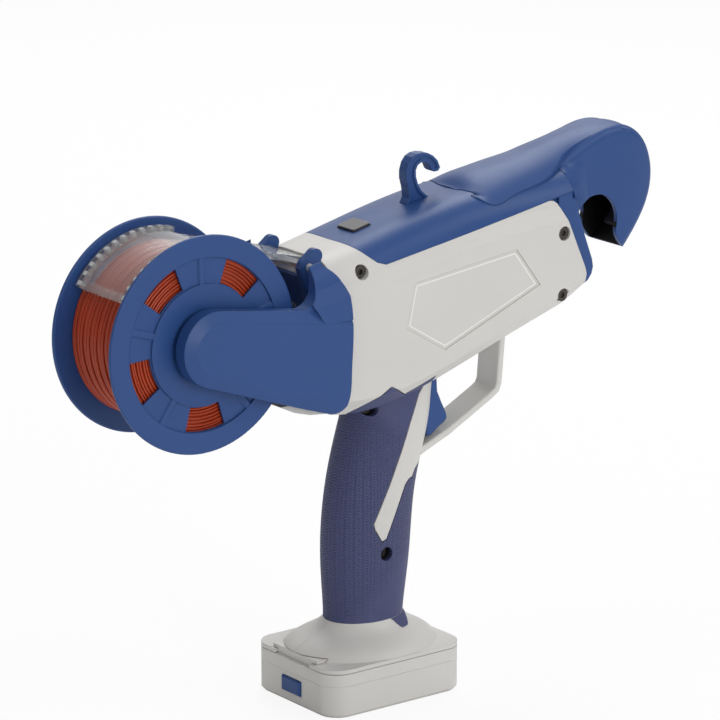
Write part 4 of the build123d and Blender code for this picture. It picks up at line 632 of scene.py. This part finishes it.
# Floor
# Plain pale studio paper under the tool.
# The camera, also through the clear guard, sees it mostly as plain white; the rest keeps the shadow.
FLOOR_HALF = 12.0
FLOOR_WHITE = 0.88
paper, tree = start_finish("white_studio_paper")
matte = knot(tree, "ShaderNodeBsdfDiffuse", {"Color": tint("#f4f4f4")})
white = knot(tree, "ShaderNodeEmission", {"Color": (1.0, 1.0, 1.0, 1.0), "Strength": 1.0})
seen = knot(tree, "ShaderNodeLightPath")
through = knot(tree, "ShaderNodeMath", {0: seen.outputs["Is Camera Ray"],
                                        1: seen.outputs["Is Transmission Ray"]}, operation="MAXIMUM")
share = knot(tree, "ShaderNodeMath", {0: through.outputs[0], 1: FLOOR_WHITE}, operation="MULTIPLY")
both = knot(tree, "ShaderNodeMixShader", {0: share.outputs[0], 1: matte.outputs[0], 2: white.outputs[0]})
knot(tree, "ShaderNodeOutputMaterial", {"Surface": both.outputs[0]})
shape = bmesh.new()
bmesh.ops.create_grid(shape, x_segments=2, y_segments=2, size=FLOOR_HALF)
floor = add_piece("floor", shape, paper)

# Light
# Five soft boxes in a pale room: overhead, on the tool's right, at its right front,
# and two on the far side from the camera, where the roof mirrors them.
studio = bpy.data.worlds.new("studio")
bpy.context.scene.world = studio
studio.use_nodes = True
room = studio.node_tree
room.nodes.clear()
# The walls light the tool at 0.38; straight from the camera they show as plain white.
seen = knot(room, "ShaderNodeLightPath")
glow = knot(room, "ShaderNodeMapRange", {"Value": seen.outputs["Is Camera Ray"], "To Min": 0.38,
                                         "To Max": 1.0})
walls = knot(room, "ShaderNodeBackground", {"Color": (1.0, 1.0, 1.0, 1.0),
                                            "Strength": glow.outputs["Result"]})
knot(room, "ShaderNodeOutputWorld", {"Surface": walls.outputs[0]})
# Rows give the name, place, aim, width and power.
for name, spot, aim, size, power in (
    ("overhead_box", (-0.6, 0.2, 1.9), (0.0, 0.0, 0.2), 1.2, 5.0),
    ("camera_box", (-0.2, -2.4, 0.9), (0.0, 0.0, 0.2), 1.4, 21.0),
    ("front_box", (1.5, -1.2, 1.75), (0.05, 0.0, 0.22), 1.2, 11.0),
    ("back_box", (1.0, 0.95, 2.05), (0.1, 0.0, 0.25), 1.3, 20.0),
    ("wall_box", (1.05, 1.75, 1.2), (0.05, 0.0, 0.25), 1.6, 6.0),
):
    lamp = bpy.data.lights.new(name, "AREA")
    lamp.shape = "DISK"
    lamp.size = size
    lamp.energy = power
    holder = bpy.data.objects.new(name, lamp)
    bpy.context.scene.collection.objects.link(holder)
    holder.location = spot
    holder.rotation_euler = (Vector(aim) - Vector(spot)).to_track_quat("-Z", "Y").to_euler()

# Camera
# Long lens from the right rear, 15.1 degrees above level, 37 degrees off the side.
CAMERA_SPOT = (-1.24664, -1.65507, 0.73815)
CAMERA_AIM = (0.581, 0.771, -0.2605)
lens = bpy.data.cameras.new("camera")
lens.sensor_width = 36.0
lens.lens = 207.05
lens.clip_start = 0.1
lens.clip_end = 50.0
camera = bpy.data.objects.new("camera", lens)
bpy.context.scene.collection.objects.link(camera)
camera.location = CAMERA_SPOT
camera.rotation_euler = Vector(CAMERA_AIM).to_track_quat("-Z", "Y").to_euler()
bpy.context.scene.camera = camera
bpy.context.scene.view_settings.view_transform = "Standard"
